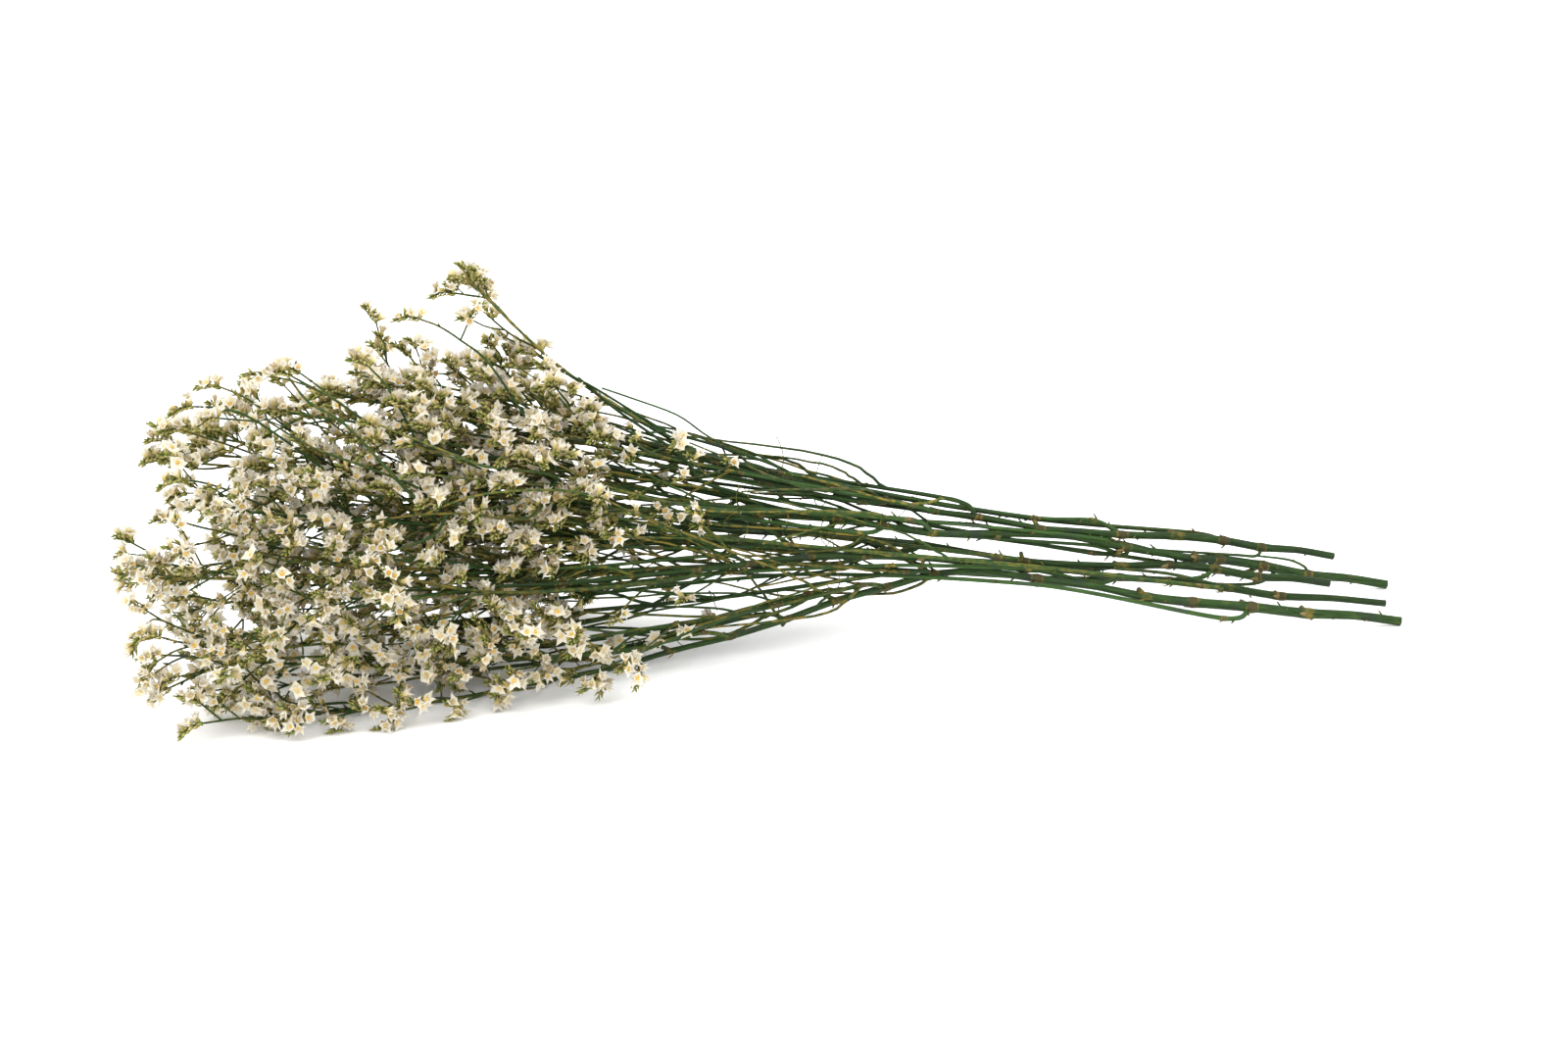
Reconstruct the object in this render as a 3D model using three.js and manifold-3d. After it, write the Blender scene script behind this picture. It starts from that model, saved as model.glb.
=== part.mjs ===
// A bunch of preserved white statice, lying as it was put down on a table.
//
// Five cut stems cross and rest on each other at the neck of the bunch. Each is a green,
// branching stalk. The flowering end of each side branch, and of each stalk, is a spray:
// a thin axis with short twigs, each ending in a funnel-shaped floret with five pointed lobes.
//
// Millimetres, +Z up, +X towards the cut ends. The table is the plane z = 0, and the origin is
// on it, under the middle of the bunch.

import * as THREE from "three";
import Module from "manifold-3d";

const wasm = await Module();
wasm.setup();

// Gaps between pieces
const SEAT_GAP = 0.3; // between a spray and the branch end that carries it
const PASSING_GAP = 0.35; // least room between two pieces that pass each other
const WALK_STEP = 2; // spacing of the points at which a new shoot is tested for room
const TWIG_TRIES = 40;
const BRANCH_TRIES = 150;
const LOOSENESS = 0.2; // of a branch's way at the first try, and what each later try adds
const LOOSER_EACH_TRY = 0.025;

// Stalks: slightly zigzag and thicker where a branch leaves
const STALK_SIDES = 6;
const STALK_STEPS = 20; // two for each stretch of a route
const STALK_SEAT_STEP = 16; // where a stalk's own flowering tip starts
const STALK_TIP_RADIUS = 0.6;
const ZIGZAG = 1.1;
const NODE_SWELL = 1.2;
const SPUR_STEPS = [2, 4, 7]; // where a side shoot has broken off
const SPUR_LENGTH = 6;
const SPUR_RADIUS = 0.9;
const SPUR_TAPER = 0.7;
const SPUR_ROOT_STRETCH = 3; // length over which it grows out of the stalk

// Side branches: each leaves its stalk at an angle and then runs with it through the neck
const BRANCH_STEPS = [3, 5, 7, 9, 10, 11, 12, 13, 14, 15]; // where on a stalk they leave
const BRANCH_SIDES = 4;
const BRANCH_LEAVES_AT = THREE.MathUtils.degToRad(29);
const BRANCH_ELBOW = 15; // it bends back towards the stalk's direction this far from its root
const BRANCH_ASIDE = 7; // how far beside its stalk it passes the neck, and what that varies by
const BRANCH_ASIDE_VARIES = 1.1;
const BRANCH_ROOT_RADIUS = 1.25;
const BRANCH_TIP_RADIUS = 0.55;
const BRANCH_THINNER = 0.8; // a branch is at most this share of its stalk's radius
const BRANCH_ROOT_STRETCH = 12; // length over which it grows out of the stalk
const BRANCH_PULL = 0.4; // share of its way to the head that it keeps the stalk's direction
const FLOWERING_LENGTH = 90; // about how much of it flowers, at most
const FLOWERING_SHARE = 0.6;
const FLOWERING_STEPS = 3;
const NECK_STEP = 7;
const NECK = [105, 3, 36]; // the heads widen from here
const HEAD_TURN = 0.6; // turn between the spirals of two heads, in golden angles
const HEAD_OUTWARDS_VARIES = 0.4;
const HEAD_DEPTH_STARTS = 0.3; // share of its depth by which a head reaches past its middle
const HEAD_DEPTH_VARIES = 20;

// The upper outline of the bunch along X and Z, from the head, over its peak, to the neck
const OUTLINE = [
  [-260, 112], [-215, 129], [-185, 135], [-165, 156], [-145, 175],
  [-125, 172], [-105, 142], [-80, 118], [60, 72],
];

// Twigs and florets
const SPRAY_SIDES = 3;
const TWIG_SPACING = 16.5;
const TWIG_FIRST = 4; // room between a spray's seat and its first twig
const TWIG_LONGEST = 43;
const TWIG_SHORTEST = 22;
const TWIG_LEAVES_AT = THREE.MathUtils.degToRad(40);
const TWIG_ROOT_RADIUS = 0.42;
const TWIG_TIP_RADIUS = 0.48;
const TWIG_ROOT_STRETCH = 4; // length over which a twig grows out of its parent
const TWIG_TURN_ON = 0.7; // turn, radians, and share of length lost, from one try to the next
const TWIG_SHORTER = 0.012;
const TWIG_TURN_VARIES = 0.5;
const TWIG_LENGTH_VARIES = 0.3;
const TWIGS_AT_LEAST = 3;
const PEDICEL_LENGTH = 14;
const PEDICEL_FORK = 0.55; // share of the twig's length at which a second floret leaves
const PEDICEL_SHARE = 0.35; // share of twigs that fork
const LOBES = 5;
const FLORET_RADIUS = 6.8;
const FLORET_THROAT = 3;
const FLORET_HEIGHT = 5;
const FLORET_FLOOR = 3.3;
const FLORET_MIDDLE = 3.5; // height of the middle of the ball that a floret takes up
const FLORET_PRESSED = 0.7; // share of its radius at which a floret's middle may lie on the table
const LOWEST_TIP = FLORET_PRESSED * FLORET_RADIUS + 0.4; // height of a branch's lowest tip

const GOLDEN_ANGLE = THREE.MathUtils.degToRad(137.508);
const GOLDEN_SHARE = 0.618034;

// The stalks, in the order in which they lie on each other. A route runs from the cut end to
// the tip. The head is the middle of the space that the stalk's sprays fill, with its half
// sizes across, and depth is the length over which the tips of its sprays are spread.
const STALKS = [
  {
    name: "d",
    cutRadius: 2.15,
    route: [
      [304, -31, 1.9], [258, -28, 7.7], [204, -22, 14.4], [160, -11, 21], [105, 0, 28.5],
      [60, -2, 24], [10, -11, 14], [-45, -21, 5.5], [-100, -37, 1.2], [-160, -57, 1],
      [-236, -76, 5],
    ],
    head: { centre: [-222, -56, 24], spread: [28, 18], depth: 185 },
  },
  {
    name: "c",
    cutRadius: 1.65,
    route: [
      [302, -14, 5.5], [250, -10, 11], [198, -3, 19.5], [150, 2, 25.5], [105, 0, 32.2],
      [49, -8, 42], [-9, -20, 46], [-65, -35, 48], [-129, -50, 52], [-195, -62, 50],
      [-250, -70, 41],
    ],
    head: { centre: [-230, -36, 66], spread: [30, 32], depth: 185 },
  },
  {
    name: "e",
    cutRadius: 1.8,
    route: [
      [279, 2, 11.6], [243, 4, 16.5], [200, 9, 23.5], [150, 3, 28.7], [105, 10, 34.5],
      [55, 24, 40], [0, 35, 44], [-55, 45, 53], [-118, 55, 66], [-186, 60, 78],
      [-258, 60, 88],
    ],
    head: { centre: [-232, 36, 44], spread: [36, 46], depth: 185 },
  },
  {
    name: "b",
    cutRadius: 2.1,
    route: [
      [315, 22, 1.8], [273, 20, 10], [227, 16, 22], [200, 9, 28.3], [150, 5, 41.5],
      [83, 0, 48.5], [37, 2, 57], [-9, 5, 69], [-59, 8, 84], [-122, 10, 101],
      [-225, 14, 121],
    ],
    head: { centre: [-230, 8, 106], spread: [40, 28], depth: 175 },
  },
  {
    name: "a",
    cutRadius: 1.75,
    route: [
      [288, 25, 17.3], [250, 21, 25.4], [205, 14, 36], [150, 5, 44.95], [122, 4, 50.5],
      [85, 8, 57], [38, 10, 69], [-8, 12, 84], [-50, 14, 104], [-95, 15, 138],
      [-133, 10, 180],
    ],
    head: { centre: [-168, 14, 128], spread: [36, 20], depth: 120 },
  },
];

// A repeatable draw of numbers from 0 to 1
function seededDraw(seed) {
  return () => {
    seed = (seed + 0x6d2b79f5) | 0;
    let mixed = Math.imul(seed ^ (seed >>> 15), 1 | seed);
    mixed = (mixed + Math.imul(mixed ^ (mixed >>> 7), 61 | mixed)) ^ mixed;
    return ((mixed ^ (mixed >>> 14)) >>> 0) / 4294967296;
  };
}
const draw = seededDraw(43);
const drawAround = (width) => (draw() - 0.5) * width;

const mix = (from, to, share) => from + (to - from) * share;
const vector = (xyz) => new THREE.Vector3(...xyz);

// An axis is a shoot's centre line: points with a radius each. Parts of an axis share its rods.
function makeAxis(points, radii, whole = null) {
  return { points, radii, whole };
}

function directionAt(axis, step) {
  const before = axis.points[Math.max(step - 1, 0)];
  const after = axis.points[Math.min(step + 1, axis.points.length - 1)];
  return after.clone().sub(before).normalize();
}

// The point and direction at a distance from an axis's root
function spotAlong(axis, distance) {
  let left = distance;
  let i = 1;
  while (i < axis.points.length - 1 && left > axis.points[i].distanceTo(axis.points[i - 1])) {
    left -= axis.points[i].distanceTo(axis.points[i - 1]);
    i++;
  }
  const span = axis.points[i].clone().sub(axis.points[i - 1]);
  const share = left / span.length();
  return {
    point: axis.points[i - 1].clone().addScaledVector(span, share),
    direction: span.normalize(),
  };
}

function lengthOf(axis) {
  let total = 0;
  for (let i = 1; i < axis.points.length; i++) total += axis.points[i].distanceTo(axis.points[i - 1]);
  return total;
}

// A direction square to the given one, turned about it by an angle
function squareTo(direction, angle) {
  const up = Math.abs(direction.z) < 0.9 ? new THREE.Vector3(0, 0, 1) : new THREE.Vector3(0, 1, 0);
  return up.cross(direction).normalize().applyAxisAngle(direction, angle);
}

// The part of an axis from one step to another; a part that starts at a seat leaves its gap
function partOf(axis, from, to, gap = 0) {
  const points = axis.points.slice(from, to + 1).map((p) => p.clone());
  points[0].addScaledVector(points[1].clone().sub(points[0]).normalize(), gap);
  return makeAxis(points, axis.radii.slice(from, to + 1), axis);
}

// Everything placed so far, as short round-ended rods
const placed = [];

function place(axis) {
  for (let i = 1; i < axis.points.length; i++)
    placed.push({
      start: axis.points[i - 1],
      span: axis.points[i].clone().sub(axis.points[i - 1]),
      radius: Math.max(axis.radii[i - 1], axis.radii[i]),
      axis,
    });
}

// The floret at an axis's tip takes up a ball
function floretBall(axis) {
  const tip = axis.points.at(-1);
  const facing = directionAt(axis, axis.points.length - 1);
  const centre = tip.clone().addScaledVector(facing, FLORET_MIDDLE);
  return makeAxis([centre, centre], [FLORET_RADIUS, FLORET_RADIUS]);
}

// The height that florets keep below
function outlineAt(x) {
  const within = THREE.MathUtils.clamp(x, OUTLINE[0][0], OUTLINE.at(-1)[0]);
  const step = Math.max(OUTLINE.findIndex(([end]) => end >= within), 1);
  const [from, to] = [OUTLINE[step - 1], OUTLINE[step]];
  return THREE.MathUtils.mapLinear(within, from[0], to[0], from[1], to[1]);
}

// True if the axis has room between the placed rods and above the table. Its parent doesn't
// count over the first stretch, where it grows out of it.
function hasRoom(axis, parent, rootStretch, pressed = 1) {
  let walked = 0;
  for (let i = 1; i < axis.points.length; i++) {
    const span = axis.points[i].clone().sub(axis.points[i - 1]);
    const length = span.length();
    const count = Math.max(1, Math.ceil(length / WALK_STEP));
    for (let j = 1; j <= count; j++) {
      const share = j / count;
      const point = axis.points[i - 1].clone().addScaledVector(span, share);
      const radius = mix(axis.radii[i - 1], axis.radii[i], share);
      const along = walked + length * share;
      if (point.z < radius * pressed) return false;
      for (const rod of placed) {
        if (along < rootStretch && parent && rod.axis === (parent.whole ?? parent)) continue;
        const offset = point.clone().sub(rod.start);
        const squared = rod.span.lengthSq();
        const beside = squared > 0 ? THREE.MathUtils.clamp(offset.dot(rod.span) / squared, 0, 1) : 0;
        const apart = offset.addScaledVector(rod.span, -beside).length();
        if (apart < radius + rod.radius + PASSING_GAP) return false;
      }
    }
    walked += length;
  }
  return true;
}

// The stalk's centre line, thinner towards its tip, a little aside at every other step
function stalkAxis(stalk) {
  const curve = new THREE.CatmullRomCurve3(stalk.route.map(vector), false, "catmullrom", 0.5);
  const points = curve.getPoints(STALK_STEPS);
  const smooth = makeAxis(points.map((p) => p.clone()), []);
  for (let step = 1; step < STALK_SEAT_STEP; step += 2)
    points[step].addScaledVector(squareTo(directionAt(smooth, step), step * GOLDEN_ANGLE), ZIGZAG);
  const nodes = [...BRANCH_STEPS, ...SPUR_STEPS];
  const radii = points.map((_, i) => {
    const plain = mix(stalk.cutRadius, STALK_TIP_RADIUS, i / STALK_STEPS);
    return nodes.includes(i) ? plain * NODE_SWELL : plain;
  });
  return makeAxis(points, radii);
}

// Where a branch's tip goes: the branches fill the stalk's head in a sunflower's spiral, the
// lowest branch outermost, and the head widens with its distance from the neck
function headPlace(stalk, index, looseness) {
  const ringShare = Math.sqrt(1 - (index + 0.5) / BRANCH_STEPS.length);
  const outwards = ringShare * (1 + drawAround(HEAD_OUTWARDS_VARIES));
  const headTurn = HEAD_TURN * STALKS.indexOf(stalk);
  const turn = (index + headTurn) * GOLDEN_ANGLE + drawAround(2 * looseness);
  const { centre, spread, depth } = stalk.head;
  const tip = vector(centre);
  tip.y += spread[0] * outwards * Math.cos(turn);
  tip.z += spread[1] * outwards * Math.sin(turn);
  const neck = vector(NECK);
  const depthShare = (((index + 0.5) * GOLDEN_SHARE) % 1) - HEAD_DEPTH_STARTS;
  const back = depth * depthShare + drawAround(HEAD_DEPTH_VARIES);
  tip.lerp(neck, back / (neck.x - centre[0]));
  tip.z = Math.max(tip.z, LOWEST_TIP);
  return tip;
}

function branchAxis(main, step, tip, looseness) {
  const root = main.points[step];
  const along = directionAt(main, step);
  const across = tip.clone().sub(root);
  across.addScaledVector(along, -across.dot(along)).normalize();
  const leaving = along.multiplyScalar(Math.cos(BRANCH_LEAVES_AT));
  leaving.addScaledVector(across, Math.sin(BRANCH_LEAVES_AT));
  const points = [root, root.clone().addScaledVector(leaving, BRANCH_ELBOW)];
  const heading = directionAt(main, Math.max(step, NECK_STEP));
  if (step < NECK_STEP) {
    const side = across.applyAxisAngle(heading, drawAround(1 + looseness));
    const aside = BRANCH_ASIDE * (1 + drawAround(BRANCH_ASIDE_VARIES));
    points.push(main.points[NECK_STEP].clone().addScaledVector(side, aside));
  }
  const from = points.at(-1);
  const way = from.distanceTo(tip);
  const bend = new THREE.QuadraticBezierCurve3(
    from,
    from.clone().addScaledVector(heading, BRANCH_PULL * way),
    tip,
  );
  const seatShare = 1 - Math.min(FLOWERING_SHARE, FLOWERING_LENGTH / way);
  points.push(bend.getPoint(seatShare / 2), bend.getPoint(seatShare));
  const seat = points.length - 1;
  for (let i = 1; i <= FLOWERING_STEPS; i++)
    points.push(bend.getPoint(mix(seatShare, 1, i / FLOWERING_STEPS)));
  const thickest = Math.min(BRANCH_ROOT_RADIUS, BRANCH_THINNER * main.radii[step]);
  const last = points.length - 1;
  const axis = makeAxis(points, points.map((_, i) => mix(thickest, BRANCH_TIP_RADIUS, i / last)));
  axis.seat = seat;
  return axis;
}

// A straight shoot from a spot on its parent, leaving it to one side
function sideShoot(spot, turn, length, rootRadius, tipRadius) {
  const side = squareTo(spot.direction, turn);
  const heading = spot.direction
    .clone()
    .multiplyScalar(Math.cos(TWIG_LEAVES_AT))
    .addScaledVector(side, Math.sin(TWIG_LEAVES_AT));
  const tip = spot.point.clone().addScaledVector(heading, length);
  return makeAxis([spot.point, tip], [rootRadius, tipRadius]);
}

// Tries a shoot with one loosened draw after another until one has room
function growWithRoom(tries, attempt, parent, rootStretch) {
  for (let n = 0; n < tries; n++) {
    const axis = attempt(n);
    const ball = floretBall(axis);
    const inOutline = ball.points[0].z < outlineAt(ball.points[0].x);
    if (inOutline && hasRoom(axis, parent, rootStretch) && hasRoom(ball, null, 0, FLORET_PRESSED)) {
      place(axis);
      place(ball);
      return axis;
    }
  }
  return null;
}

function growTwig(parent, distance, turn, length) {
  const spot = spotAlong(parent, distance);
  const attempt = (n) => {
    const turnNow = turn + TWIG_TURN_ON * n + drawAround(TWIG_TURN_VARIES);
    const lengthNow = length * (1 - TWIG_SHORTER * n);
    return sideShoot(spot, turnNow, lengthNow, TWIG_ROOT_RADIUS, TWIG_TIP_RADIUS);
  };
  return growWithRoom(TWIG_TRIES, attempt, parent, TWIG_ROOT_STRETCH);
}

// A short stump where a side shoot has broken off
function growSpur(main, step) {
  const spot = { point: main.points[step], direction: directionAt(main, step) };
  for (let n = 0; n < TWIG_TRIES; n++) {
    const spur = sideShoot(spot, n * GOLDEN_ANGLE, SPUR_LENGTH, SPUR_RADIUS, SPUR_TAPER * SPUR_RADIUS);
    if (hasRoom(spur, main, SPUR_ROOT_STRETCH)) {
      place(spur);
      return spur;
    }
  }
  return null;
}

// The twigs of a flowering axis, from its seat to its tip, some with a second floret
function growSpray(axis) {
  const length = lengthOf(axis);
  const count = Math.max(TWIGS_AT_LEAST, Math.round(length / TWIG_SPACING));
  const firstTurn = draw() * 2 * Math.PI;
  const shoots = [];
  for (let i = 0; i < count; i++) {
    const share = i / count;
    const distance = mix(TWIG_FIRST, length, share);
    const reach = mix(TWIG_LONGEST, TWIG_SHORTEST, share) * (1 + drawAround(TWIG_LENGTH_VARIES));
    const turn = firstTurn + i * GOLDEN_ANGLE;
    const twig = growTwig(axis, distance, turn, reach);
    if (twig) shoots.push(twig);
    if (twig && draw() < PEDICEL_SHARE) {
      const fork = PEDICEL_FORK * lengthOf(twig);
      const pedicel = growTwig(twig, fork, turn + GOLDEN_ANGLE, PEDICEL_LENGTH);
      if (pedicel) shoots.push(pedicel);
    }
  }
  return shoots;
}

// Growing the bunch: all stalks, then all branches, then all twigs
const bunchStalks = STALKS.map((stalk) => {
  const main = stalkAxis(stalk);
  return { name: stalk.name, stalk, main, branches: [], spurs: [] };
});
for (const { main } of bunchStalks) {
  place(main);
  place(floretBall(main));
}
for (const grown of bunchStalks)
  grown.spurs = SPUR_STEPS.map((step) => growSpur(grown.main, step)).filter(Boolean);
for (const [index, step] of BRANCH_STEPS.entries())
  for (const { stalk, main, branches } of bunchStalks) {
    const attempt = (n) => {
      const looseness = LOOSENESS + n * LOOSER_EACH_TRY;
      return branchAxis(main, step, headPlace(stalk, index, looseness), looseness);
    };
    const axis = growWithRoom(BRANCH_TRIES, attempt, main, BRANCH_ROOT_STRETCH);
    if (axis) branches.push({ axis });
  }
for (const grown of bunchStalks) {
  grown.tip = partOf(grown.main, STALK_SEAT_STEP, STALK_STEPS, SEAT_GAP);
  grown.tipShoots = growSpray(grown.tip);
  for (const branch of grown.branches) {
    branch.flowering = partOf(branch.axis, branch.axis.seat, branch.axis.points.length - 1, SEAT_GAP);
    branch.shoots = growSpray(branch.flowering);
  }
}

// Frames along an axis that turn with it and don't twist
function framesAlong(points) {
  const axis = { points };
  let normal = null;
  return points.map((point, i) => {
    const tangent = directionAt(axis, i);
    normal = normal
      ? normal.clone().addScaledVector(tangent, -normal.dot(tangent)).normalize()
      : squareTo(tangent, 0);
    return { point, tangent, normal, binormal: tangent.clone().cross(normal) };
  });
}

function ring(frame, count, radiusAt, heightAt = () => 0) {
  return Array.from({ length: count }, (_, i) => {
    const angle = (i / count) * 2 * Math.PI;
    return frame.point
      .clone()
      .addScaledVector(frame.tangent, heightAt(i))
      .addScaledVector(frame.normal, radiusAt(i) * Math.cos(angle))
      .addScaledVector(frame.binormal, radiusAt(i) * Math.sin(angle));
  });
}

// A closed solid over a row of rings that may differ in their number of points
function solidOver(rings, endsInFloret) {
  const faces = [];
  const starts = [];
  let total = 0;
  for (const one of rings) {
    starts.push(total);
    total += one.length;
  }
  for (let k = 2; k < rings[0].length; k++) faces.push([0, k, k - 1]);
  for (let r = 1; r < rings.length; r++) {
    const low = rings[r - 1].length;
    const high = rings[r].length;
    let i = 0;
    let j = 0;
    while (i < low || j < high) {
      const a = starts[r - 1] + (i % low);
      const b = starts[r] + (j % high);
      if (j >= high || (i < low && (i + 1) / low <= (j + 1) / high)) {
        faces.push([a, starts[r - 1] + ((i + 1) % low), b]);
        i++;
      } else {
        faces.push([a, starts[r] + ((j + 1) % high), b]);
        j++;
      }
    }
  }
  const end = starts.at(-1);
  const count = rings.at(-1).length;
  if (endsInFloret) {
    // Each lobe's own triangle, then the floor of the throat
    for (let k = 0; k < count; k += 2)
      faces.push([end + k, end + k + 1, end + ((k + count - 1) % count)]);
    for (let k = 3; k < count - 1; k += 2) faces.push([end + 1, end + k, end + k + 2]);
  } else {
    for (let k = 2; k < count; k++) faces.push([end, end + k - 1, end + k]);
  }
  const positions = rings.flat().flatMap((p) => [p.x, p.y, p.z]);
  return new wasm.Manifold(
    new wasm.Mesh({
      numProp: 3,
      vertProperties: new Float32Array(positions),
      triVerts: new Uint32Array(faces.flat()),
    }),
  );
}

function rodSolid(axis, sides) {
  const rings = framesAlong(axis.points).map((frame, i) => ring(frame, sides, () => axis.radii[i]));
  return solidOver(rings, false);
}

// A thin axis that opens into a five-lobed funnel at its tip
function floweringRod(axis) {
  const frames = framesAlong(axis.points);
  const rings = frames.map((frame, i) => ring(frame, SPRAY_SIDES, () => axis.radii[i]));
  rings.push(
    ring(
      frames.at(-1),
      2 * LOBES,
      (i) => (i % 2 ? FLORET_THROAT : FLORET_RADIUS),
      (i) => (i % 2 ? FLORET_FLOOR : FLORET_HEIGHT),
    ),
  );
  return solidOver(rings, true);
}

// One solid of several, pressed flat where it would reach below the table
function joined(solids) {
  const sum = solids.reduce((whole, solid) => whole.add(solid));
  return sum.boundingBox().min[2] < 0 ? sum.trimByPlane([0, 0, 1], 0) : sum;
}

function meshOf(name, solid, material, origin) {
  const { vertProperties, triVerts } = solid.getMesh();
  const geometry = new THREE.BufferGeometry();
  geometry.setAttribute("position", new THREE.BufferAttribute(new Float32Array(vertProperties), 3));
  geometry.setIndex(new THREE.BufferAttribute(new Uint32Array(triVerts), 1));
  geometry.translate(-origin.x, -origin.y, -origin.z);
  const mesh = new THREE.Mesh(geometry, material);
  mesh.name = name;
  mesh.position.copy(origin);
  return mesh;
}

const stalkGreen = new THREE.MeshStandardMaterial({
  name: "stalk_green",
  color: 0x2a5a22,
  roughness: 0.6,
  metalness: 0,
});
const sprayWhite = new THREE.MeshStandardMaterial({
  name: "spray_white",
  color: 0xe4dfcf,
  roughness: 0.8,
  metalness: 0,
});

function sprayMesh(name, axis, shoots) {
  const solid = joined([axis, ...shoots].map(floweringRod));
  return meshOf(name, solid, sprayWhite, axis.points[0]);
}

function stalkMesh({ name, main, branches, spurs }) {
  const solids = [rodSolid(partOf(main, 0, STALK_SEAT_STEP), STALK_SIDES)];
  for (const { axis } of branches) solids.push(rodSolid(partOf(axis, 0, axis.seat), BRANCH_SIDES));
  for (const spur of spurs) solids.push(rodSolid(spur, SPRAY_SIDES));
  return meshOf("stalk_" + name, joined(solids), stalkGreen, main.points[0]);
}

const bunch = new THREE.Group();
bunch.name = "preserved_statice";
for (const grown of bunchStalks) {
  bunch.add(stalkMesh(grown));
  bunch.add(sprayMesh(`spray_${grown.name}_tip`, grown.tip, grown.tipShoots));
  grown.branches.forEach(({ flowering, shoots }, i) =>
    bunch.add(sprayMesh(`spray_${grown.name}_${i + 1}`, flowering, shoots)),
  );
}

// The origin goes under the middle of the bunch
const middle = new THREE.Box3().setFromObject(bunch).getCenter(new THREE.Vector3());
for (const mesh of bunch.children) mesh.position.sub(new THREE.Vector3(middle.x, middle.y, 0));

export default bunch;
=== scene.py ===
# %% [markdown]
# # A lying bunch of preserved white statice
#
# Statice is cut in flower and treated so that it keeps. These stems are a deeper green than
# dried ones, so they are taken as dyed. They fork again and again, and the last forks end in
# curved spikes of small papery florets, white with a yellow eye. This lesson loads the packed
# solids as a frame that never moves. It then grows finer stems and florets in the same places,
# to within about a millimetre.

# %% Load the frame
import itertools
import math
import random

import bmesh
import bpy
import numpy as np
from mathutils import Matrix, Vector


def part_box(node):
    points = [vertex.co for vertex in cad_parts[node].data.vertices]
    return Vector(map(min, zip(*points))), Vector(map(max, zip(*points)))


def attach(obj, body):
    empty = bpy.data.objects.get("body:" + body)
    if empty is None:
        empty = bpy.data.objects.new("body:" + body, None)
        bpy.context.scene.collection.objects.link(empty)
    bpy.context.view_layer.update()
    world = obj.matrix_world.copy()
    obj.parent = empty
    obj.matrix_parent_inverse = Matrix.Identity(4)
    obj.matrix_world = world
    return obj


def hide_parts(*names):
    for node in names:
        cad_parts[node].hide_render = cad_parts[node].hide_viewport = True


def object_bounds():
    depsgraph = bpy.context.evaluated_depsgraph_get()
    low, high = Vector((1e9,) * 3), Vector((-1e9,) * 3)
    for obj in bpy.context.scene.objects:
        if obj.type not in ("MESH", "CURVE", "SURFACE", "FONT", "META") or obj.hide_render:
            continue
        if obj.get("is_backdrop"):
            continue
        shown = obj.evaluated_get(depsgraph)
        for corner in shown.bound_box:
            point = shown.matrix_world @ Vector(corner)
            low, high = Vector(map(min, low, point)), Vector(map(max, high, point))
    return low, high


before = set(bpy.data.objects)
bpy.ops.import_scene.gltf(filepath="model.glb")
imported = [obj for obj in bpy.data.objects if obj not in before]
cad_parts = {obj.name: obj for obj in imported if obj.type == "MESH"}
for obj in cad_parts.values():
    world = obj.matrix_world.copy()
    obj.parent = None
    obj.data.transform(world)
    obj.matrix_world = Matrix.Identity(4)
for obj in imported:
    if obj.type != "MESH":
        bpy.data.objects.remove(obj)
cad_low, cad_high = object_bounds()
print("solids in the frame:", len(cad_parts), "box", cad_low, cad_high)

# %% [markdown]
# ## The camera
#
# The photograph looks at the bunch a little from above, and the stems keep their width along
# the whole length, as through a long lens from nearly two metres away. A camera could be placed
# by eye, but an orbit round a point in the bunch has only four numbers to get right: two
# angles, a distance and a lens.

# %% Place the camera
MM = 0.001
AIM = np.array([2.6, 0.5, 60.0]) * MM
CAMERA_TURN = math.radians(-10)
CAMERA_RISE = math.radians(18)
CAMERA_AWAY = 1.725
LENS_MM = 85

lens = bpy.data.cameras.new("camera")
lens.lens = LENS_MM
lens.clip_end = 30
camera = bpy.data.objects.new("camera", lens)
bpy.context.scene.collection.objects.link(camera)
backwards = Vector((
    math.sin(CAMERA_TURN) * math.cos(CAMERA_RISE),
    -math.cos(CAMERA_TURN) * math.cos(CAMERA_RISE),
    math.sin(CAMERA_RISE),
))
camera.location = Vector(AIM) + CAMERA_AWAY * backwards
camera.rotation_euler = backwards.to_track_quat("Z", "Y").to_euler()
bpy.context.scene.camera = camera
print("camera at", tuple(round(x, 3) for x in camera.location))

# %% [markdown]
# ## The growing rule, part one: a repeatable draw
#
# A plant is a rule that is applied again and again with small differences. The solids of the
# frame were grown by such a rule from a seeded draw, so the same draw and the same rule give
# every stem and every floret its place again. All lengths of the rule are millimetres.

# %% Numbers that come out the same each time
FULL = 0xFFFFFFFF


def seeded_draw(seed):
    """A repeatable draw of numbers from 0 to 1."""
    def draw():
        nonlocal seed
        seed = (seed + 0x6D2B79F5) & FULL
        mixed = (seed ^ (seed >> 15)) * (1 | seed) & FULL
        mixed = ((mixed + ((mixed ^ (mixed >> 7)) * (61 | mixed) & FULL)) & FULL) ^ mixed
        return (mixed ^ (mixed >> 14)) / (FULL + 1)
    return draw


draw = seeded_draw(43)


def draw_around(width):
    return (draw() - 0.5) * width


print("first number of the draw:", round(seeded_draw(43)(), 3))

# %% [markdown]
# ## Part two: the five stalks
#
# Each stalk is one cut stem. A route runs from the cut end, through the neck where the stalks
# cross and rest on each other, to the flowering tip. The centre, spread and depth give the part
# of the head that a stalk's side branches fill.

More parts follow.
